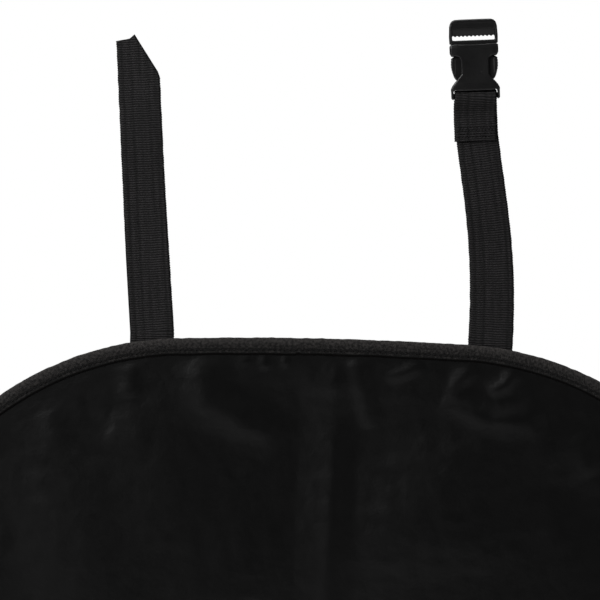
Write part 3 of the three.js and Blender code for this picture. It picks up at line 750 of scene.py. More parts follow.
def bend_strap(piece, strap, side):
    """Puts a strap in its nodes' place."""
    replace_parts(piece, f"{strap}_tab_{side}", f"{strap}_strap_{side}")
    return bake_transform(piece)


class BuckleFrame:
    """Where a buckle is at rest: its webbing bar's middle, its up direction and its across direction."""

    def __init__(self, prefix):
        self.prefix = prefix
        self.bar = joint_place(f"{prefix}_buckle_swivel")
        self.up = np.array(JOINTS[f"{prefix}_plug_slide"]["axis"], float)
        self.back = np.array([0.0, 1, 0])
        self.across = np.cross(self.back, self.up)
        self.turn = np.stack([self.across, self.back, self.up])

    def place(self, points):
        """Points from the buckle's own (across, back, up) to the apron's frame, in millimetres."""
        return self.bar + np.asarray(points, float) @ self.turn

    def below_bar(self, length):
        """A point (x, z) on the buckle's middle line, this far before its bar."""
        return (self.bar - self.up * length)[[0, 2]]


def loop_line():
    """The webbing's turn round the bar, as (across, back, up): from behind it, over it, and down in front."""
    angle = np.linspace(0, math.pi, LOOP_POINTS)
    turn = LOOP_RADIUS * as_points(np.cos(angle), np.sin(angle))
    settle = bezier((-LOOP_RADIUS, 0), (-LOOP_RADIUS, -6), (TAIL_DEPTH, -6), (TAIL_DEPTH, -12), 40)[1:]
    back, up = np.concatenate([turn, settle, [[TAIL_DEPTH, -TAIL_LENGTH]]]).T
    in_front = np.arange(len(up)) > LOOP_POINTS / 2
    return as_points(-TAIL_SHIFT * smooth_step(-up, -LOOP_RADIUS, 10) * in_front, back, up)


def buckle_strap(strap, points_xz, widths, seed):
    """A strap that runs from its sewn tab to the buckle, round its bar, and back down its own front."""
    buckle = BuckleFrame(strap)
    line3, across = strap_run(points_xz, -1.2, 0.05, seed)
    loop = buckle.place(loop_line())
    line3 = np.concatenate([line3, loop])
    across = np.concatenate([across, np.tile(buckle.across, (len(loop), 1))])
    return bend_strap(webbing(f"{strap}_webbing_right", line3, across, widths, seed), strap, "right")


def neck_root(side):
    """Where a neck strap's sewn end starts, and where its free length does."""
    low, _ = node_box(f"neck_strap_{side}")
    root = np.array([joint_place(f"neck_strap_{side}_swing")[0], low[2]])
    return root - (0, NECK_RISE + SEWN_LENGTH), root


def neck_strap_left():
    foot, root = neck_root("left")
    low, high = node_box("neck_strap_left")
    tip = np.array([low[0] + WEB_WIDTH / 2 - 0.6, high[2] - 0.3])
    upper = bezier(root, root + (-4.2, 50), tip + (3.4, -52), tip)
    line3, across = strap_run(np.concatenate([[foot], upper]), -1.6, 0.06, 52)
    piece = webbing("neck_webbing_left", line3, across, NECK_WIDTHS, 53, cut=True)
    return bend_strap(piece, "neck", "left")


def neck_strap_right():
    foot, root = neck_root("right")
    buckle = BuckleFrame("neck")
    end = buckle.below_bar(TAIL_START)
    handle = end - 31 * np.array([-math.sin(NECK_STRAP_LEAN), math.cos(NECK_STRAP_LEAN)])
    points = np.concatenate([[foot], bezier(root, root + (2, 54), handle, end), [buckle.below_bar(2)]])
    return buckle_strap("neck", points, NECK_WIDTHS, 55)


def waist_line(sign, reach, end_z):
    """A waist strap's points in (x, z), from its sewn end out to reach; sign is -1 for the left one."""
    hinge = joint_place("waist_strap_right_swing")
    start = hinge[0] + 1
    handle = (reach - start) / 2
    foot = (hinge[0] - 3 - SEWN_LENGTH, hinge[2])
    ways = [(start, hinge[2]), (start + handle, hinge[2]), (reach - handle, end_z), (reach, end_z)]
    return np.concatenate([[foot], bezier(*ways)]) * (sign, 1)


def waist_strap_left():
    low, _ = node_box("waist_strap_left")
    line3, across = strap_run(waist_line(-1, -low[0], BuckleFrame("waist").bar[2]), -1.8, 0.07, 57)
    piece = webbing("waist_webbing_left", line3, across, WAIST_WIDTHS, 58)
    return bend_strap(piece, "waist", "left")


def waist_strap_right():
    buckle = BuckleFrame("waist")
    points = waist_line(1, *buckle.below_bar(TAIL_START))
    points = np.concatenate([points, [buckle.below_bar(2)]])
    return buckle_strap("waist", points, WAIST_WIDTHS, 59)


# ---- Stitches that hold the webbing ----
TAB_STITCH_PITCH = 2.3
LOOP_STITCH_PITCH = 1.9
LOOP_STITCH_SPAN = (-10.5, 10.8)  # across the webbing
LOOP_STITCH_ROWS = np.linspace(-23.4, -18.2, 4)  # each row's place above the bar
LOOP_STITCH_SLANT = 0.18


def along_path(corners, pitch):
    """Stitch centres and directions along a bent line of (x, z) points."""
    centres, ways = [], []
    for start, end in zip(corners[:-1], corners[1:]):
        start, end = np.array(start, float), np.array(end, float)
        count = max(1, round(np.hypot(*(end - start)) / pitch))
        for k in range(count):
            centres.append(start + (end - start) * (k + 0.5) / count)
            ways.append(end - start)
    return np.array(centres), unit(np.array(ways))


def tab_stitches(strap, side):
    """The sewn box with its cross that holds a strap's tab, seen on its back."""
    node = f"{strap}_tab_stitch_{side}"
    low, high = node_box(node)
    x0, z0, x1, z1 = low[0], low[2], high[0], high[2]
    box = [(x0, z0), (x1, z0), (x1, z1), (x0, z1), (x0, z0), (x1, z1)]
    parts = [along_path(path, TAB_STITCH_PITCH) for path in (box, [(x0, z1), (x1, z0)])]
    centres, ways = (np.concatenate(values) for values in zip(*parts))
    points = as_points(centres[:, 0], STRAP_Y + WEB_HALF + 0.02, centres[:, 1])
    ways = as_points(ways[:, 0], 0, ways[:, 1])
    name = f"{strap}_root_stitches_{side}"
    piece = stitches(name, points, ways, (0, 1, 0), length=2.1, radius=0.22, seed=61)
    return stand_in(piece, node, f"{side}_half")


def loop_stitches(prefix):
    """Close rows of stitches across the strap's folded-back end."""
    buckle = BuckleFrame(prefix)
    centres, ways = [], []
    start, end = LOOP_STITCH_SPAN
    for row, height in enumerate(LOOP_STITCH_ROWS):
        for x in np.arange(start + 0.9 * (row % 2), end, LOOP_STITCH_PITCH):
            centres.append((x, TAIL_DEPTH - WEB_HALF - 0.03, height))
            ways.append((1, 0, LOOP_STITCH_SLANT * (-1) ** row))
    centres = buckle.place(centres)
    ways = unit(np.array(ways)) @ buckle.turn
    name = f"{prefix}_loop_stitches"
    piece = stitches(name, centres, ways, -buckle.back, length=1.7, radius=0.22, seed=62)
    return stand_in(piece, f"{prefix}_loop_stitch", f"{prefix}_strap_right")


# ---- Solids shaped by distance fields, for the moulded buckles ----
CELL = 0.3


class Block:
    """A block of sample points in a buckle's own frame: x across, y back, z up from its webbing bar."""

    def __init__(self, low, high):
        self.low = np.array(low, float) - 3 * CELL
        counts = np.ceil((np.array(high, float) + 3 * CELL - self.low) / CELL).astype(int) + 1
        axes = [start + CELL * np.arange(count) for start, count in zip(self.low, counts)]
        self.x, self.y, self.z = np.meshgrid(*axes, indexing="ij", sparse=True)

    def box(self, half_width, y0, y1, z0, z1, radius=0.3):
        """Distance from a centred box with rounded edges, negative inside."""
        sides = []
        spans = ((self.x, -half_width, half_width), (self.y, y0, y1), (self.z, z0, z1))
        for values, start, end in spans:
            sides.append(np.abs(values - (start + end) / 2) - (end - start) / 2 + radius)
        outside = np.sqrt(sum(np.maximum(side, 0) ** 2 for side in sides))
        inside = np.minimum(np.maximum(np.maximum(sides[0], sides[1]), sides[2]), 0)
        return outside + inside - radius

    def prism(self, outline):
        """Distance from an (x, z) outline that runs through the whole depth."""
        return outline_field(outline, self.x, self.z)

    def rod(self, half_length, radius):
        """Distance from a rod along x through the bar's place."""
        return np.maximum(np.hypot(self.y, self.z) - radius, np.abs(self.x) - half_length)


def outline_field(outline, u, v):
    """Distance in a plane from a closed outline, negative inside."""
    u, v = u + 0 * v, v + 0 * u
    distance = np.full(u.shape, np.inf)
    inside = np.zeros(u.shape, bool)
    for (u0, v0), (u1, v1) in zip(outline, [*outline[1:], outline[0]]):
        du, dv = u1 - u0, v1 - v0
        t = np.clip(((u - u0) * du + (v - v0) * dv) / max(du * du + dv * dv, 1e-9), 0, 1)
        distance = np.minimum(distance, np.hypot(u - u0 - t * du, v - v0 - t * dv))
        crosses = (v0 > v) != (v1 > v)
        inside ^= crosses & (u < u0 + (v - v0) * du / (dv or 1))
    return np.where(inside, -distance, distance)


def soft_max(a, b, radius):
    """Both solids' overlap, with the edge between them rounded."""
    near = np.maximum(radius - np.abs(a - b), 0)
    return np.maximum(a, b) + near**2 / (4 * radius)


def soft_min(a, b, radius):
    """Both solids joined, with a fillet between them."""
    return -soft_max(-a, -b, radius)


def carve(a, b, radius):
    """The first solid without the second."""
    return soft_max(a, -b, radius)


def both_sides(outline):
    """An outline given by its right-hand points, mirrored to its left."""
    return [*outline, *((-x, z) for x, z in outline[::-1])]


def net_over(field, low):
    """Points and quads of a smooth net over the surface where a field sampled on a block crosses zero."""
    inside = field < 0
    cells = np.array(field.shape) - 1
    strides = np.array([cells[1] * cells[2], cells[2], 1])
    totals = np.zeros((cells.prod(), 4))
    quads = []
    for axis in range(3):
        b, c = (axis + 1) % 3, (axis + 2) % 3
        here = inside.take(range(cells[axis]), axis)
        there = inside.take(range(1, cells[axis] + 1), axis)
        start = np.argwhere(here != there)
        end = start.copy()
        end[:, axis] += 1
        before, after = field[tuple(start.T)], field[tuple(end.T)]
        place = start.astype(float)
        place[:, axis] += before / (before - after)
        home = start @ strides
        corners = [home - strides[b] - strides[c], home - strides[c], home, home - strides[b]]
        for corner in corners:
            for k in range(3):
                totals[:, k] += np.bincount(corner, place[:, k], len(totals))
            totals[:, 3] += np.bincount(corner, minlength=len(totals))
        ring = np.stack(corners, 1)
        leaving = inside[tuple(start.T)]
        quads.append(np.where(leaving[:, None], ring, ring[:, ::-1]))
    used, quads = np.unique(np.concatenate(quads), return_inverse=True)
    return low + totals[used, :3] / totals[used, 3:] * CELL, quads.reshape(-1, 4)


def smoothed(points, quads, rounds=2, share=0.5):
    """The net with each point drawn towards the middle of its neighbours, and a little back out."""
    turned = np.roll(quads, 1, 1)
    a = np.concatenate([quads, turned]).ravel()
    b = np.concatenate([turned, quads]).ravel()
    degree = np.bincount(a, minlength=len(points))[:, None]
    for step in (share, -share * 1.04) * rounds:
        near = np.stack([np.bincount(a, points[b, k], len(points)) for k in range(3)], 1) / degree
        points = points + step * (near - points)
    return points


def moulded(name, block, field, buckle, mirror=1):
    """A solid from its field, placed where the buckle is; mirror is -1 for one on its left."""
    points, quads = net_over(field, block.low)
    points = smoothed(points, quads) * (mirror, 1, 1)
    placed = buckle.place(points)
    return make_mesh(name, placed, facing_out(placed, quads), points[:, [0, 2]])


# ---- Side-release buckle, from the middle of its webbing bar towards the plug's end ----
BAR_RADIUS = 1.5
ARM_END = -2.6
HOUSING_START = 3.7
CAVITY_START = 6.2
WINDOW_START = 9.1
WINDOW_END = 22.8
MOUTH = 30
PLUG_END = 44
HALF_WIDTH = 14
BAND_HALF_WIDTH = 13.9
THROAT_HALF_WIDTH = 11.6
WEB_SLOT_HALF_WIDTH = 12.6
WAIST_HALF_WIDTH = 7.9
POCKET_HALF_WIDTH = 10.7  # half the housing's width beside its press windows
HALF_DEPTH = 4.3
CAVITY_HALF_DEPTH = 2.5
PLUG_FRONT, PLUG_BACK = -2.6, 2.8
COLLAR = MOUTH + 0.3
SLOT_START = COLLAR + 1.6
CROSSBAR_START = SLOT_START + 2.5
CROSSBAR_END = CROSSBAR_START + 4.4
TOOTH_PITCH = 2.3
MOUTH_DIP = 0.8
LIP_END = 2.7  # the housing's front edge comes down over the webbing's turn
LIP_BACK = -3.5
LIP_CORNER_BACK = -3.1  # it is thicker beside the webbing's thin edges
LIP_CORNER_START = 11.85
DISH_DEPTH, DISH_HALF_WIDTH, DISH_HALF_LENGTH = 0.85, 10, 11.5  # of the hollow in the socket's faces
THROUGH = 9  # a carving block this long passes right through
ROOT_LENGTH, ROOT_HALF_WIDTH = 4.5, 7.2
TONGUE_LENGTH, TONGUE_HALF_WIDTH = 19, 1.6
PRONG_FOOT = WINDOW_START - 0.3
PAD_FOOT = WINDOW_START + 3.2
PRONG_IN, PRONG_OUT = 8.4, 10.8  # how far across a prong's root runs
PAD_IN = 10.9
PAD_RIB_PITCH = 1.6


def mouth_line(x):
    """The socket's mouth dips towards its middle."""
    return MOUTH - MOUTH_DIP * (1 - (x / HALF_WIDTH) ** 2)


def window_outline():
    """The right-hand press window: an arched top, and a slanted foot that opens outwards."""
    side, top, outer = WAIST_HALF_WIDTH, WINDOW_END, HALF_WIDTH + 3
    arch = bezier((side + 3.2, top), (side + 1.2, top), (side, top - 1.2), (side, top - 3.2), 10)
    foot = [(side, WINDOW_START + 3.1), (POCKET_HALF_WIDTH, WINDOW_START)]
    return [(outer, WINDOW_START), (outer, top), *map(tuple, arch), *foot]


def socket(buckle):
    """The housing, with two press windows, and the bar that the webbing turns round."""
    block = Block((-HALF_WIDTH, -HALF_DEPTH, ARM_END), (HALF_WIDTH, HALF_DEPTH, MOUTH))
    face = [
        (HALF_WIDTH - 0.8, ARM_END),
        (HALF_WIDTH, ARM_END + 1.4),
        (HALF_WIDTH, HOUSING_START + 0.6),
        (HALF_WIDTH - 0.9, HOUSING_START + 2.4),
        (POCKET_HALF_WIDTH, WINDOW_START),
        (POCKET_HALF_WIDTH, WINDOW_END - 1),
        (BAND_HALF_WIDTH - 0.9, WINDOW_END),
        (BAND_HALF_WIDTH, WINDOW_END + 2),
        (BAND_HALF_WIDTH, MOUTH),
    ]
    edge_on = [
        (1.6, ARM_END),
        (2.1, ARM_END + 1),
        (2.5, LIP_END - 1),
        (HALF_DEPTH - 0.4, LIP_END - 0.2),
        (HALF_DEPTH - 0.1, LIP_END + 1),
        (HALF_DEPTH, WINDOW_START + 4),
        (HALF_DEPTH, MOUTH - 2.5),
        (HALF_DEPTH - 0.4, MOUTH),
    ]
    crowned = outline_field(both_sides(edge_on), block.y, block.z) + 0.6 * np.abs(block.x / HALF_WIDTH) ** 3
    dish_middle = (WINDOW_START + MOUTH) / 2 - 1
    across = np.clip(1 - (block.x / DISH_HALF_WIDTH) ** 2, 0, 1)
    along = np.clip(1 - ((block.z - dish_middle) / DISH_HALF_LENGTH) ** 2, 0, 1)
    body = soft_max(block.prism(both_sides(face)), crowned + DISH_DEPTH * across * along, 1.0)
    body = soft_max(body, block.z - mouth_line(block.x), 0.1)
    for sign in (1, -1):
        body = carve(body, block.prism([(sign * x, z) for x, z in window_outline()]), 0.9)
    slot, foot, depth = WEB_SLOT_HALF_WIDTH, ARM_END - 5, CAVITY_HALF_DEPTH
    throat = block.box(THROAT_HALF_WIDTH, -depth, depth, CAVITY_START, MOUTH + 5)
    web_slot = block.box(slot, LIP_CORNER_BACK, THROUGH, foot, HOUSING_START)
    lip_slot = block.box(LIP_CORNER_START, LIP_BACK, 0, foot, HOUSING_START)
    under_lip = block.box(slot, -THROUGH, THROUGH, foot, LIP_END, 0.6)
    body = carve(carve(body, throat, 0.4), soft_min(web_slot, lip_slot, 0.1), 0.3)
    body = soft_min(carve(body, under_lip, 0.3), block.rod(HALF_WIDTH - 0.5, BAR_RADIUS), 0.6)
    return moulded(f"{buckle.prefix}_socket", block, body, buckle)


def plug(buckle):
    """The frame that locks the strap's tail, with the root and guide tongue that enter the socket."""
    tongue_end = MOUTH - TONGUE_LENGTH
    block = Block((-HALF_WIDTH, PLUG_FRONT - 0.1, tongue_end), (HALF_WIDTH, PLUG_BACK + 0.1, PLUG_END))
    rail = HALF_WIDTH - 1.7
    outline = [
        (HALF_WIDTH - 0.2, MOUTH - 2),
        (HALF_WIDTH, CROSSBAR_START),
        (HALF_WIDTH - 0.3, PLUG_END - 4),
        (HALF_WIDTH - 0.9, PLUG_END - 2),
        (HALF_WIDTH - 2.0, PLUG_END - 0.7),
        (HALF_WIDTH - 3.6, PLUG_END - 0.1),
        (HALF_WIDTH - 7, PLUG_END),
    ]
    slab = np.maximum(PLUG_FRONT - block.y, block.y - PLUG_BACK)
    body = soft_max(block.prism(both_sides(outline)), slab, 1.2)
    body = soft_max(body, mouth_line(block.x) + 0.02 - block.z, 0.1)
    opening = block.box(rail, -THROUGH, THROUGH, SLOT_START, PLUG_END - 2.2, 0.7)
    body = carve(body, opening, 0.6)
    teeth = 0.35 * np.cos(2 * math.pi * block.x / TOOTH_PITCH) * (block.y > -1)
    slant = 0.32 * (block.z - CROSSBAR_START)
    crossbar = np.maximum(np.abs(block.y - 1.7 + slant) - 1.05, np.abs(block.x) - rail - 0.5)
    crossbar = soft_max(crossbar, CROSSBAR_START + 0.1 + teeth - block.z, 0.4)
    crossbar = soft_max(crossbar, block.z - CROSSBAR_END, 0.4)
    lip = block.box(rail + 0.5, -2.45, -1.3, CROSSBAR_END - 0.5, PLUG_END - 1.5, 0.35)
    root = block.box(ROOT_HALF_WIDTH, -2.2, 2.2, MOUTH - ROOT_LENGTH, COLLAR + 0.5, 0.5)
    tongue = block.box(TONGUE_HALF_WIDTH, -1.4, 1.4, tongue_end, MOUTH - 4, 0.6)
    for part, fillet in ((crossbar, 0.3), (lip, 0.4), (root, 0.4), (tongue, 0.6)):
        body = soft_min(body, part, fillet)
    return moulded(f"{buckle.prefix}_plug", block, body, buckle)


def prong(buckle, side, sign):
    """A springy arm from the plug's root, with a catch, and outside it a ribbed pad to press."""
    foot, catch = PRONG_FOOT, WINDOW_END - 0.4
    block = Block((7, -2.3, foot), (13.9, 2.3, MOUTH))
    inner = [(PRONG_IN, MOUTH), (PRONG_IN, WINDOW_END + 2), (7.1, WINDOW_END - 0.5), (7.1, foot + 4)]
    tip = bezier((PRONG_IN, foot + 2), (8.45, foot + 0.6), (9, foot - 0.2), (10, foot), 6)
    bulge = bezier((10, foot), (12.6, foot + 1.2), (13.6, foot + 6.4), (12.5, catch), 12)[1:]
    arm = [*inner, *map(tuple, tip), *map(tuple, bulge), (PRONG_OUT, catch + 0.3), (PRONG_OUT, MOUTH)]
    pad_top = WINDOW_END - 0.8
    face = bezier((12.2, PAD_FOOT), (13.6, PAD_FOOT + 2.2), (13.9, PAD_FOOT + 6), (13.3, pad_top), 12)
    pad = [(PAD_IN, PAD_FOOT), *map(tuple, face), (PAD_IN, pad_top)]
    ribs = 0.12 * np.cos(2 * math.pi * block.z / PAD_RIB_PITCH) * smooth_step(block.x, 11.4, 12.2)
    arm_body = soft_max(block.prism(arm), np.abs(block.y) - 1.9, 0.6)
    pad_body = soft_max(block.prism(pad) + ribs + 0.12, np.abs(block.y) - 2.2, 0.8)
    body = soft_min(arm_body, pad_body, 0.3)
    return moulded(f"{buckle.prefix}_prong_{side}", block, body, buckle, sign)


def buckle_pieces(prefix, sides):
    """A closed buckle's four mouldings, each on its own body. sides names its two prongs, lowest x first."""
    buckle = BuckleFrame(prefix)
    made = {"socket": socket(buckle), "plug": plug(buckle)}
    for side, sign in zip(sides, (-1, 1)):
        made[f"prong_{side}"] = prong(buckle, side, sign)
    return [stand_in(piece, f"{prefix}_buckle_{part}", f"{prefix}_{part}") for part, piece in made.items()]


# ---- Materials ----
class Look:
    """A procedural material while its nodes are joined. Its patterns read the mesh's UVs, in millimetres."""

    def __init__(self, name):
        self.material = bpy.data.materials.new(name)
        self.material.use_nodes = True
        self.tree = self.material.node_tree
        self.surface = self.tree.nodes["Principled BSDF"]
        uv = self.tree.nodes.new("ShaderNodeUVMap")
        uv.uv_map = "UVMap"
        self.place = self.vector("MULTIPLY", uv.outputs[0], (1 / MM, 1 / MM, 1))

    def join(self, value, socket_in):
        if isinstance(value, bpy.types.NodeSocket):
            self.tree.links.new(value, socket_in)
        else:
            socket_in.default_value = value

    def vector(self, operation, a, b):
        node = self.tree.nodes.new("ShaderNodeVectorMath")
        node.operation = operation
        self.join(a, node.inputs[0])
        self.join(b, node.inputs[1])
        return node.outputs[0]

    def sum(self, operation, a, b=0.0, c=0.0):
        """A math node's result."""
        node = self.tree.nodes.new("ShaderNodeMath")
        node.operation = operation
        for value, socket_in in zip((a, b, c), node.inputs):
            self.join(value, socket_in)
        return node.outputs[0]

    def plus(self, a, b):
        return self.sum("ADD", a, b)

    def times(self, a, b):
        return self.sum("MULTIPLY", a, b)

    def apart(self, a, b):
        """The distance between two values."""
        return self.sum("ABSOLUTE", self.sum("SUBTRACT", a, b))

    def axis(self, k):
        node = self.tree.nodes.new("ShaderNodeSeparateXYZ")
        self.join(self.place, node.inputs[0])
        return node.outputs[k]

    def noise(self, size, detail=2.0, stretch=(1, 1, 1)):
        """A random pattern of about 0 to 1 with features of the given size in millimetres."""
        node = self.tree.nodes.new("ShaderNodeTexNoise")
        node.inputs["Scale"].default_value = 1.0
        node.inputs["Detail"].default_value = detail
        node.inputs["Roughness"].default_value = 0.5
        scale = tuple(factor / size for factor in stretch)
        self.join(self.vector("MULTIPLY", self.place, scale), node.inputs["Vector"])
        return node.outputs[0]

    def wave(self, coordinate, pitch):
        """A sine of -1 to 1 along a coordinate in millimetres."""
        return self.sum("SINE", self.times(coordinate, 2 * math.pi / pitch))

    def range(self, value, low, high, start=0.0, end=1.0):
        """A value of start to end made to run from low to high."""
        node = self.tree.nodes.new("ShaderNodeMapRange")
        limits = {"Value": value, "From Min": start, "From Max": end, "To Min": low, "To Max": high}
        for name, given in limits.items():
            self.join(given, node.inputs[name])
        return node.outputs[0]

    def colour(self, share, dark, light):
        """A colour between two others."""
        node = self.tree.nodes.new("ShaderNodeMix")
        node.data_type = "RGBA"
        self.join(share, node.inputs["Factor"])
        node.inputs["A"].default_value = (*dark, 1)
        node.inputs["B"].default_value = (*light, 1)
        self.tree.links.new(node.outputs["Result"], self.surface.inputs["Base Color"])

    def bumps(self, *reliefs):
        """Relief from patterns, each given with its height in millimetres."""
        normal = None
        for pattern, height in reliefs:
            node = self.tree.nodes.new("ShaderNodeBump")
            node.inputs["Distance"].default_value = MM
            self.join(self.times(pattern, height), node.inputs["Height"])
            if normal is not None:
                self.join(normal, node.inputs["Normal"])
            normal = node.outputs[0]
        self.join(normal, self.surface.inputs["Normal"])

    def finish_with(self, **values):
        for name, value in values.items():
            self.join(value, self.surface.inputs[name.replace("_", " ").title().replace("Ior", "IOR")])
        return self.material


def nylon():
    """Black satin nylon: fine plain weave, a soft mottle where it is slightly puckered, and a faint sheen."""
    look = Look("satin_nylon")
    thread = 0.42
    weave = look.times(look.wave(look.axis(0), thread), look.wave(look.axis(1), thread))
    look.bumps((weave, 0.006), (look.noise(6, 3), 0.22), (look.noise(1.6), 0.045))
    look.colour(look.noise(40, 3), (0.0003, 0.0003, 0.0003), (0.0008, 0.0008, 0.0008))
    return look.finish_with(roughness=look.range(look.noise(9, 3), 0.36, 0.45), specular_ior_level=0.26)


TAPE_TURN_AT = 10.5  # where a tape's turned edge comes, in its own across coordinate


def tape():
    """Warm black woven tape with fine slanted ribs and a dull, slightly fuzzy face. Its colour runs darker
    inside the seam line, with a painted highlight towards the turned edge, and painted shade in the seam's
    groove and along the inner edge.
    """
    look = Look("binding_tape")
    along, across = look.axis(0), look.axis(1)
    slant = look.sum("MULTIPLY_ADD", across, 0.45, along)
    look.bumps((look.wave(slant, 1.15), 0.06), (look.wave(across, 0.9), 0.02), (look.noise(0.8, 3), 0.09))
    speckle = look.range(look.noise(1.6, 3), 0, 0.6, 0.35, 0.65)
    from_turn = look.apart(across, TAPE_TURN_AT)
    face = look.range(from_turn, -0.12, -0.27, 6.6, 7.4)
    # Painted highlight: the colour grows paler towards the tape's turned edge.
    painted_turn_highlight = look.range(from_turn, 0.34, 0, 0.5, 4)
    # Painted shade: a dark line in the colour along the seam's groove.
    painted_seam_shade = look.range(look.apart(from_turn, SEAM_INSET - 0.1), -0.34, 0, 0.3, 0.8)
    # Painted shade: the colour darkens, and the specular reflection fades, along the tape's inner edge.
    edge = (BINDING_WIDTH - 1.2, BINDING_WIDTH - 0.7)
    shaded = look.range(from_turn, 0, -0.75, *edge)
    share = look.plus(look.plus(look.plus(look.plus(speckle, face), painted_turn_highlight), painted_seam_shade), shaded)
    look.colour(look.sum("MAXIMUM", share, 0.0), (0.0022, 0.0020, 0.0019), (0.0450, 0.0412, 0.0393))
    return look.finish_with(
        roughness=look.range(look.noise(2), 0.65, 0.85),
        specular_ior_level=look.range(from_turn, 0.18, 0, *edge),
        sheen_weight=0.03,
        sheen_roughness=0.6,
    )


def web():
    """Black polyester webbing: threads that run over each rib, uneven and a little streaky, with painted
    highlight on the rib crests and painted shade in the hollows between them.
    """
    look = Look("webbing")
    along, across = look.axis(0), look.axis(1)
    twist = look.sum("MULTIPLY_ADD", along, 0.55, across)
    look.bumps((look.wave(across, 0.62), 0.022), (look.wave(twist, 0.75), 0.016), (look.noise(0.7, 3), 0.06))
    # Painted highlight and shade: the colour follows the weave's height, paler on the rib crests and darker
    # in the hollows.
    relief = look.tree.nodes.new("ShaderNodeAttribute")
    relief.attribute_name = "relief"
    painted_rib_shading = look.range(relief.outputs["Fac"], 0, 1, -RIB_HEIGHT, RIB_HEIGHT)
    speckle = look.range(look.noise(1.1, 3), 0.35, 1.25, 0.3, 0.7)
    streaks = look.range(look.noise(1.4, 2, (0.07, 1, 1)), 0.62, 1.4, 0.32, 0.68)
    share = look.times(look.times(look.sum("POWER", painted_rib_shading, 1.7), speckle), streaks)
    look.colour(share, (0.0001, 0.0001, 0.0001), (0.0245, 0.0224, 0.0234))
    return look.finish_with(roughness=look.range(look.noise(1.5), 0.50, 0.68), specular_ior_level=0.2)


def sewing_thread():
    """Black twisted sewing thread."""
    look = Look("sewing_thread")
    twist = look.sum("MULTIPLY_ADD", look.axis(1), 0.9, look.axis(0))
    look.bumps((look.wave(twist, 0.5), 0.03))
    look.colour(look.noise(2), (0.003, 0.0028, 0.0028), (0.007, 0.0066, 0.0066))
    return look.finish_with(roughness=0.6, specular_ior_level=0.15)


def plastic():
    """Black moulded plastic: fine spark-eroded texture, and a painted highlight that makes its edges a little
    paler.
    """
    look = Look("moulded_plastic")
    geometry = look.tree.nodes.new("ShaderNodeNewGeometry")
    # Painted highlight: paler colour where the surface curves sharply, at the edges.
    painted_edge_highlight = look.range(geometry.outputs["Pointiness"], 0.0, 1.0, 0.52, 0.62)
    look.bumps((look.noise(0.35), 0.02), (look.noise(3), 0.03))
    look.colour(look.times(painted_edge_highlight, look.noise(2.5, 3)), (0.0050, 0.0049, 0.0051), (0.034, 0.033, 0.034))
    return look.finish_with(roughness=look.range(look.noise(4, 3), 0.30, 0.42), specular_ior_level=0.45)


def wear_look(pieces, material):
    for piece in pieces:
        piece.data.materials.append(material)


# ---- The whole apron ----
def apron():
    pockets = [Pocket("left"), Pocket("right")]
    straps = [neck_strap_left(), neck_strap_right(), waist_strap_left(), waist_strap_right()]
    threads = [tab_stitches(strap, side) for strap in ("neck", "waist") for side in ("left", "right")]
    threads += [binding_seam(), *(pocket.seam() for pocket in pockets)]
    threads += [loop_stitches("neck"), loop_stitches("waist")]
    buckles = buckle_pieces("neck", ("left", "right")) + buckle_pieces("waist", ("upper", "lower"))
    wear_look([panel(), *(pocket.cloth() for pocket in pockets)], nylon())
    wear_look([edge_binding(), *(pocket.mouth_binding() for pocket in pockets)], tape())
    wear_look(straps, web())
    wear_look(threads, sewing_thread())
    wear_look(buckles, plastic())


# ---- Floor, light and camera ----
FLOOR_HALF = 9000
FLOOR_GLOW = 0.45  # what the surround, kept dim for the apron's sake, would add to the floor's paleness
SURROUND_LIGHT = 0.02
VIEW_WIDTH = 0.345  # metres of the apron's plane that the picture spans
CAMERA_DISTANCE = 2.0
CAMERA_AIM = Vector((-0.0143, CLOTH_Y * MM, APRON_LENGTH * MM + 0.0218))
CAMERA_ROLL = math.radians(1.35)


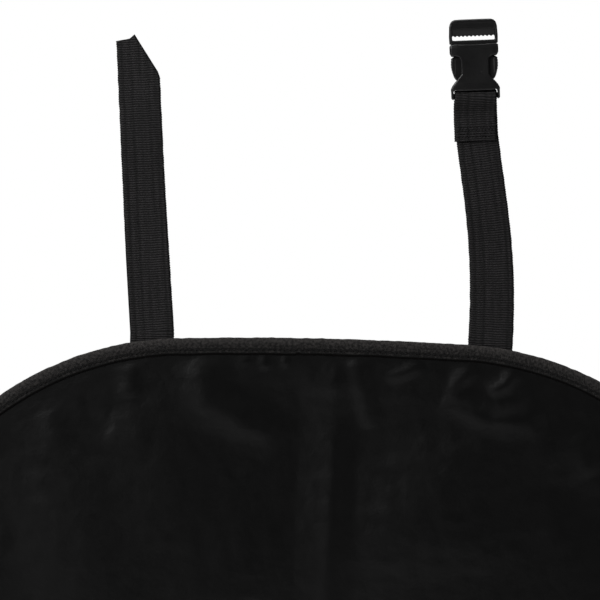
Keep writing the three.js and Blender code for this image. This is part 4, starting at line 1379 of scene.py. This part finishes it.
def floor():
    corners = [(x * FLOOR_HALF, z * FLOOR_HALF, 0) for x, z in ((-1, -1), (1, -1), (1, 1), (-1, 1))]
    plane = make_mesh("floor", corners, [(0, 1, 2, 3)], np.zeros((4, 2)))
    look = Look("pale_floor")
    path = look.tree.nodes.new("ShaderNodeLightPath")
    material = look.finish_with(
        base_color=(0.9, 0.9, 0.9, 1),
        roughness=0.8,
        emission_color=(1, 1, 1, 1),
        emission_strength=look.times(path.outputs["Is Camera Ray"], FLOOR_GLOW),
    )
    plane.data.materials.append(material)


def studio():
    """A white surround that lights the apron only dimly."""
    world = bpy.data.worlds.new("studio")
    bpy.context.scene.world = world
    world.use_nodes = True
    tree = world.node_tree
    background = tree.nodes["Background"]
    background.inputs["Color"].default_value = (1, 1, 1, 1)
    path = tree.nodes.new("ShaderNodeLightPath")
    strength = tree.nodes.new("ShaderNodeMapRange")
    strength.inputs["To Min"].default_value = SURROUND_LIGHT
    tree.links.new(path.outputs["Is Camera Ray"], strength.inputs["Value"])
    tree.links.new(strength.outputs[0], background.inputs["Strength"])


def lamp(name, place, aim_height, size, power):
    """A soft square lamp, turned towards a height on the apron's middle line."""
    data = bpy.data.lights.new(name, "AREA")
    data.size = size
    data.energy = power
    light = bpy.data.objects.new(name, data)
    light.location = place
    light.rotation_euler = (Vector((0, 0, aim_height)) - Vector(place)).to_track_quat("-Z", "Y").to_euler()
    bpy.context.scene.collection.objects.link(light)


def camera():
    data = bpy.data.cameras.new("camera")
    data.lens = data.sensor_width * CAMERA_DISTANCE / VIEW_WIDTH
    piece = bpy.data.objects.new("camera", data)
    place = CAMERA_AIM - Vector((0, CAMERA_DISTANCE, 0))
    turn = Matrix.Rotation(math.pi / 2, 4, "X") @ Matrix.Rotation(CAMERA_ROLL, 4, "Z")
    piece.matrix_world = Matrix.Translation(place) @ turn
    bpy.context.scene.collection.objects.link(piece)
    bpy.context.scene.camera = piece


apron()
floor()
studio()
lamp("key", (-1.5, -1.5, 1.9), 0.6, 0.7, 42)
lamp("fill", (1.8, -1.5, 1.0), 0.6, 1.0, 4)
lamp("top", (-0.2, -0.5, 2.5), 0.7, 0.8, 14)
lamp("back", (0.6, 1.8, 1.8), 0.5, 1.2, 15)
camera()
bpy.context.scene.view_settings.view_transform = "Standard"
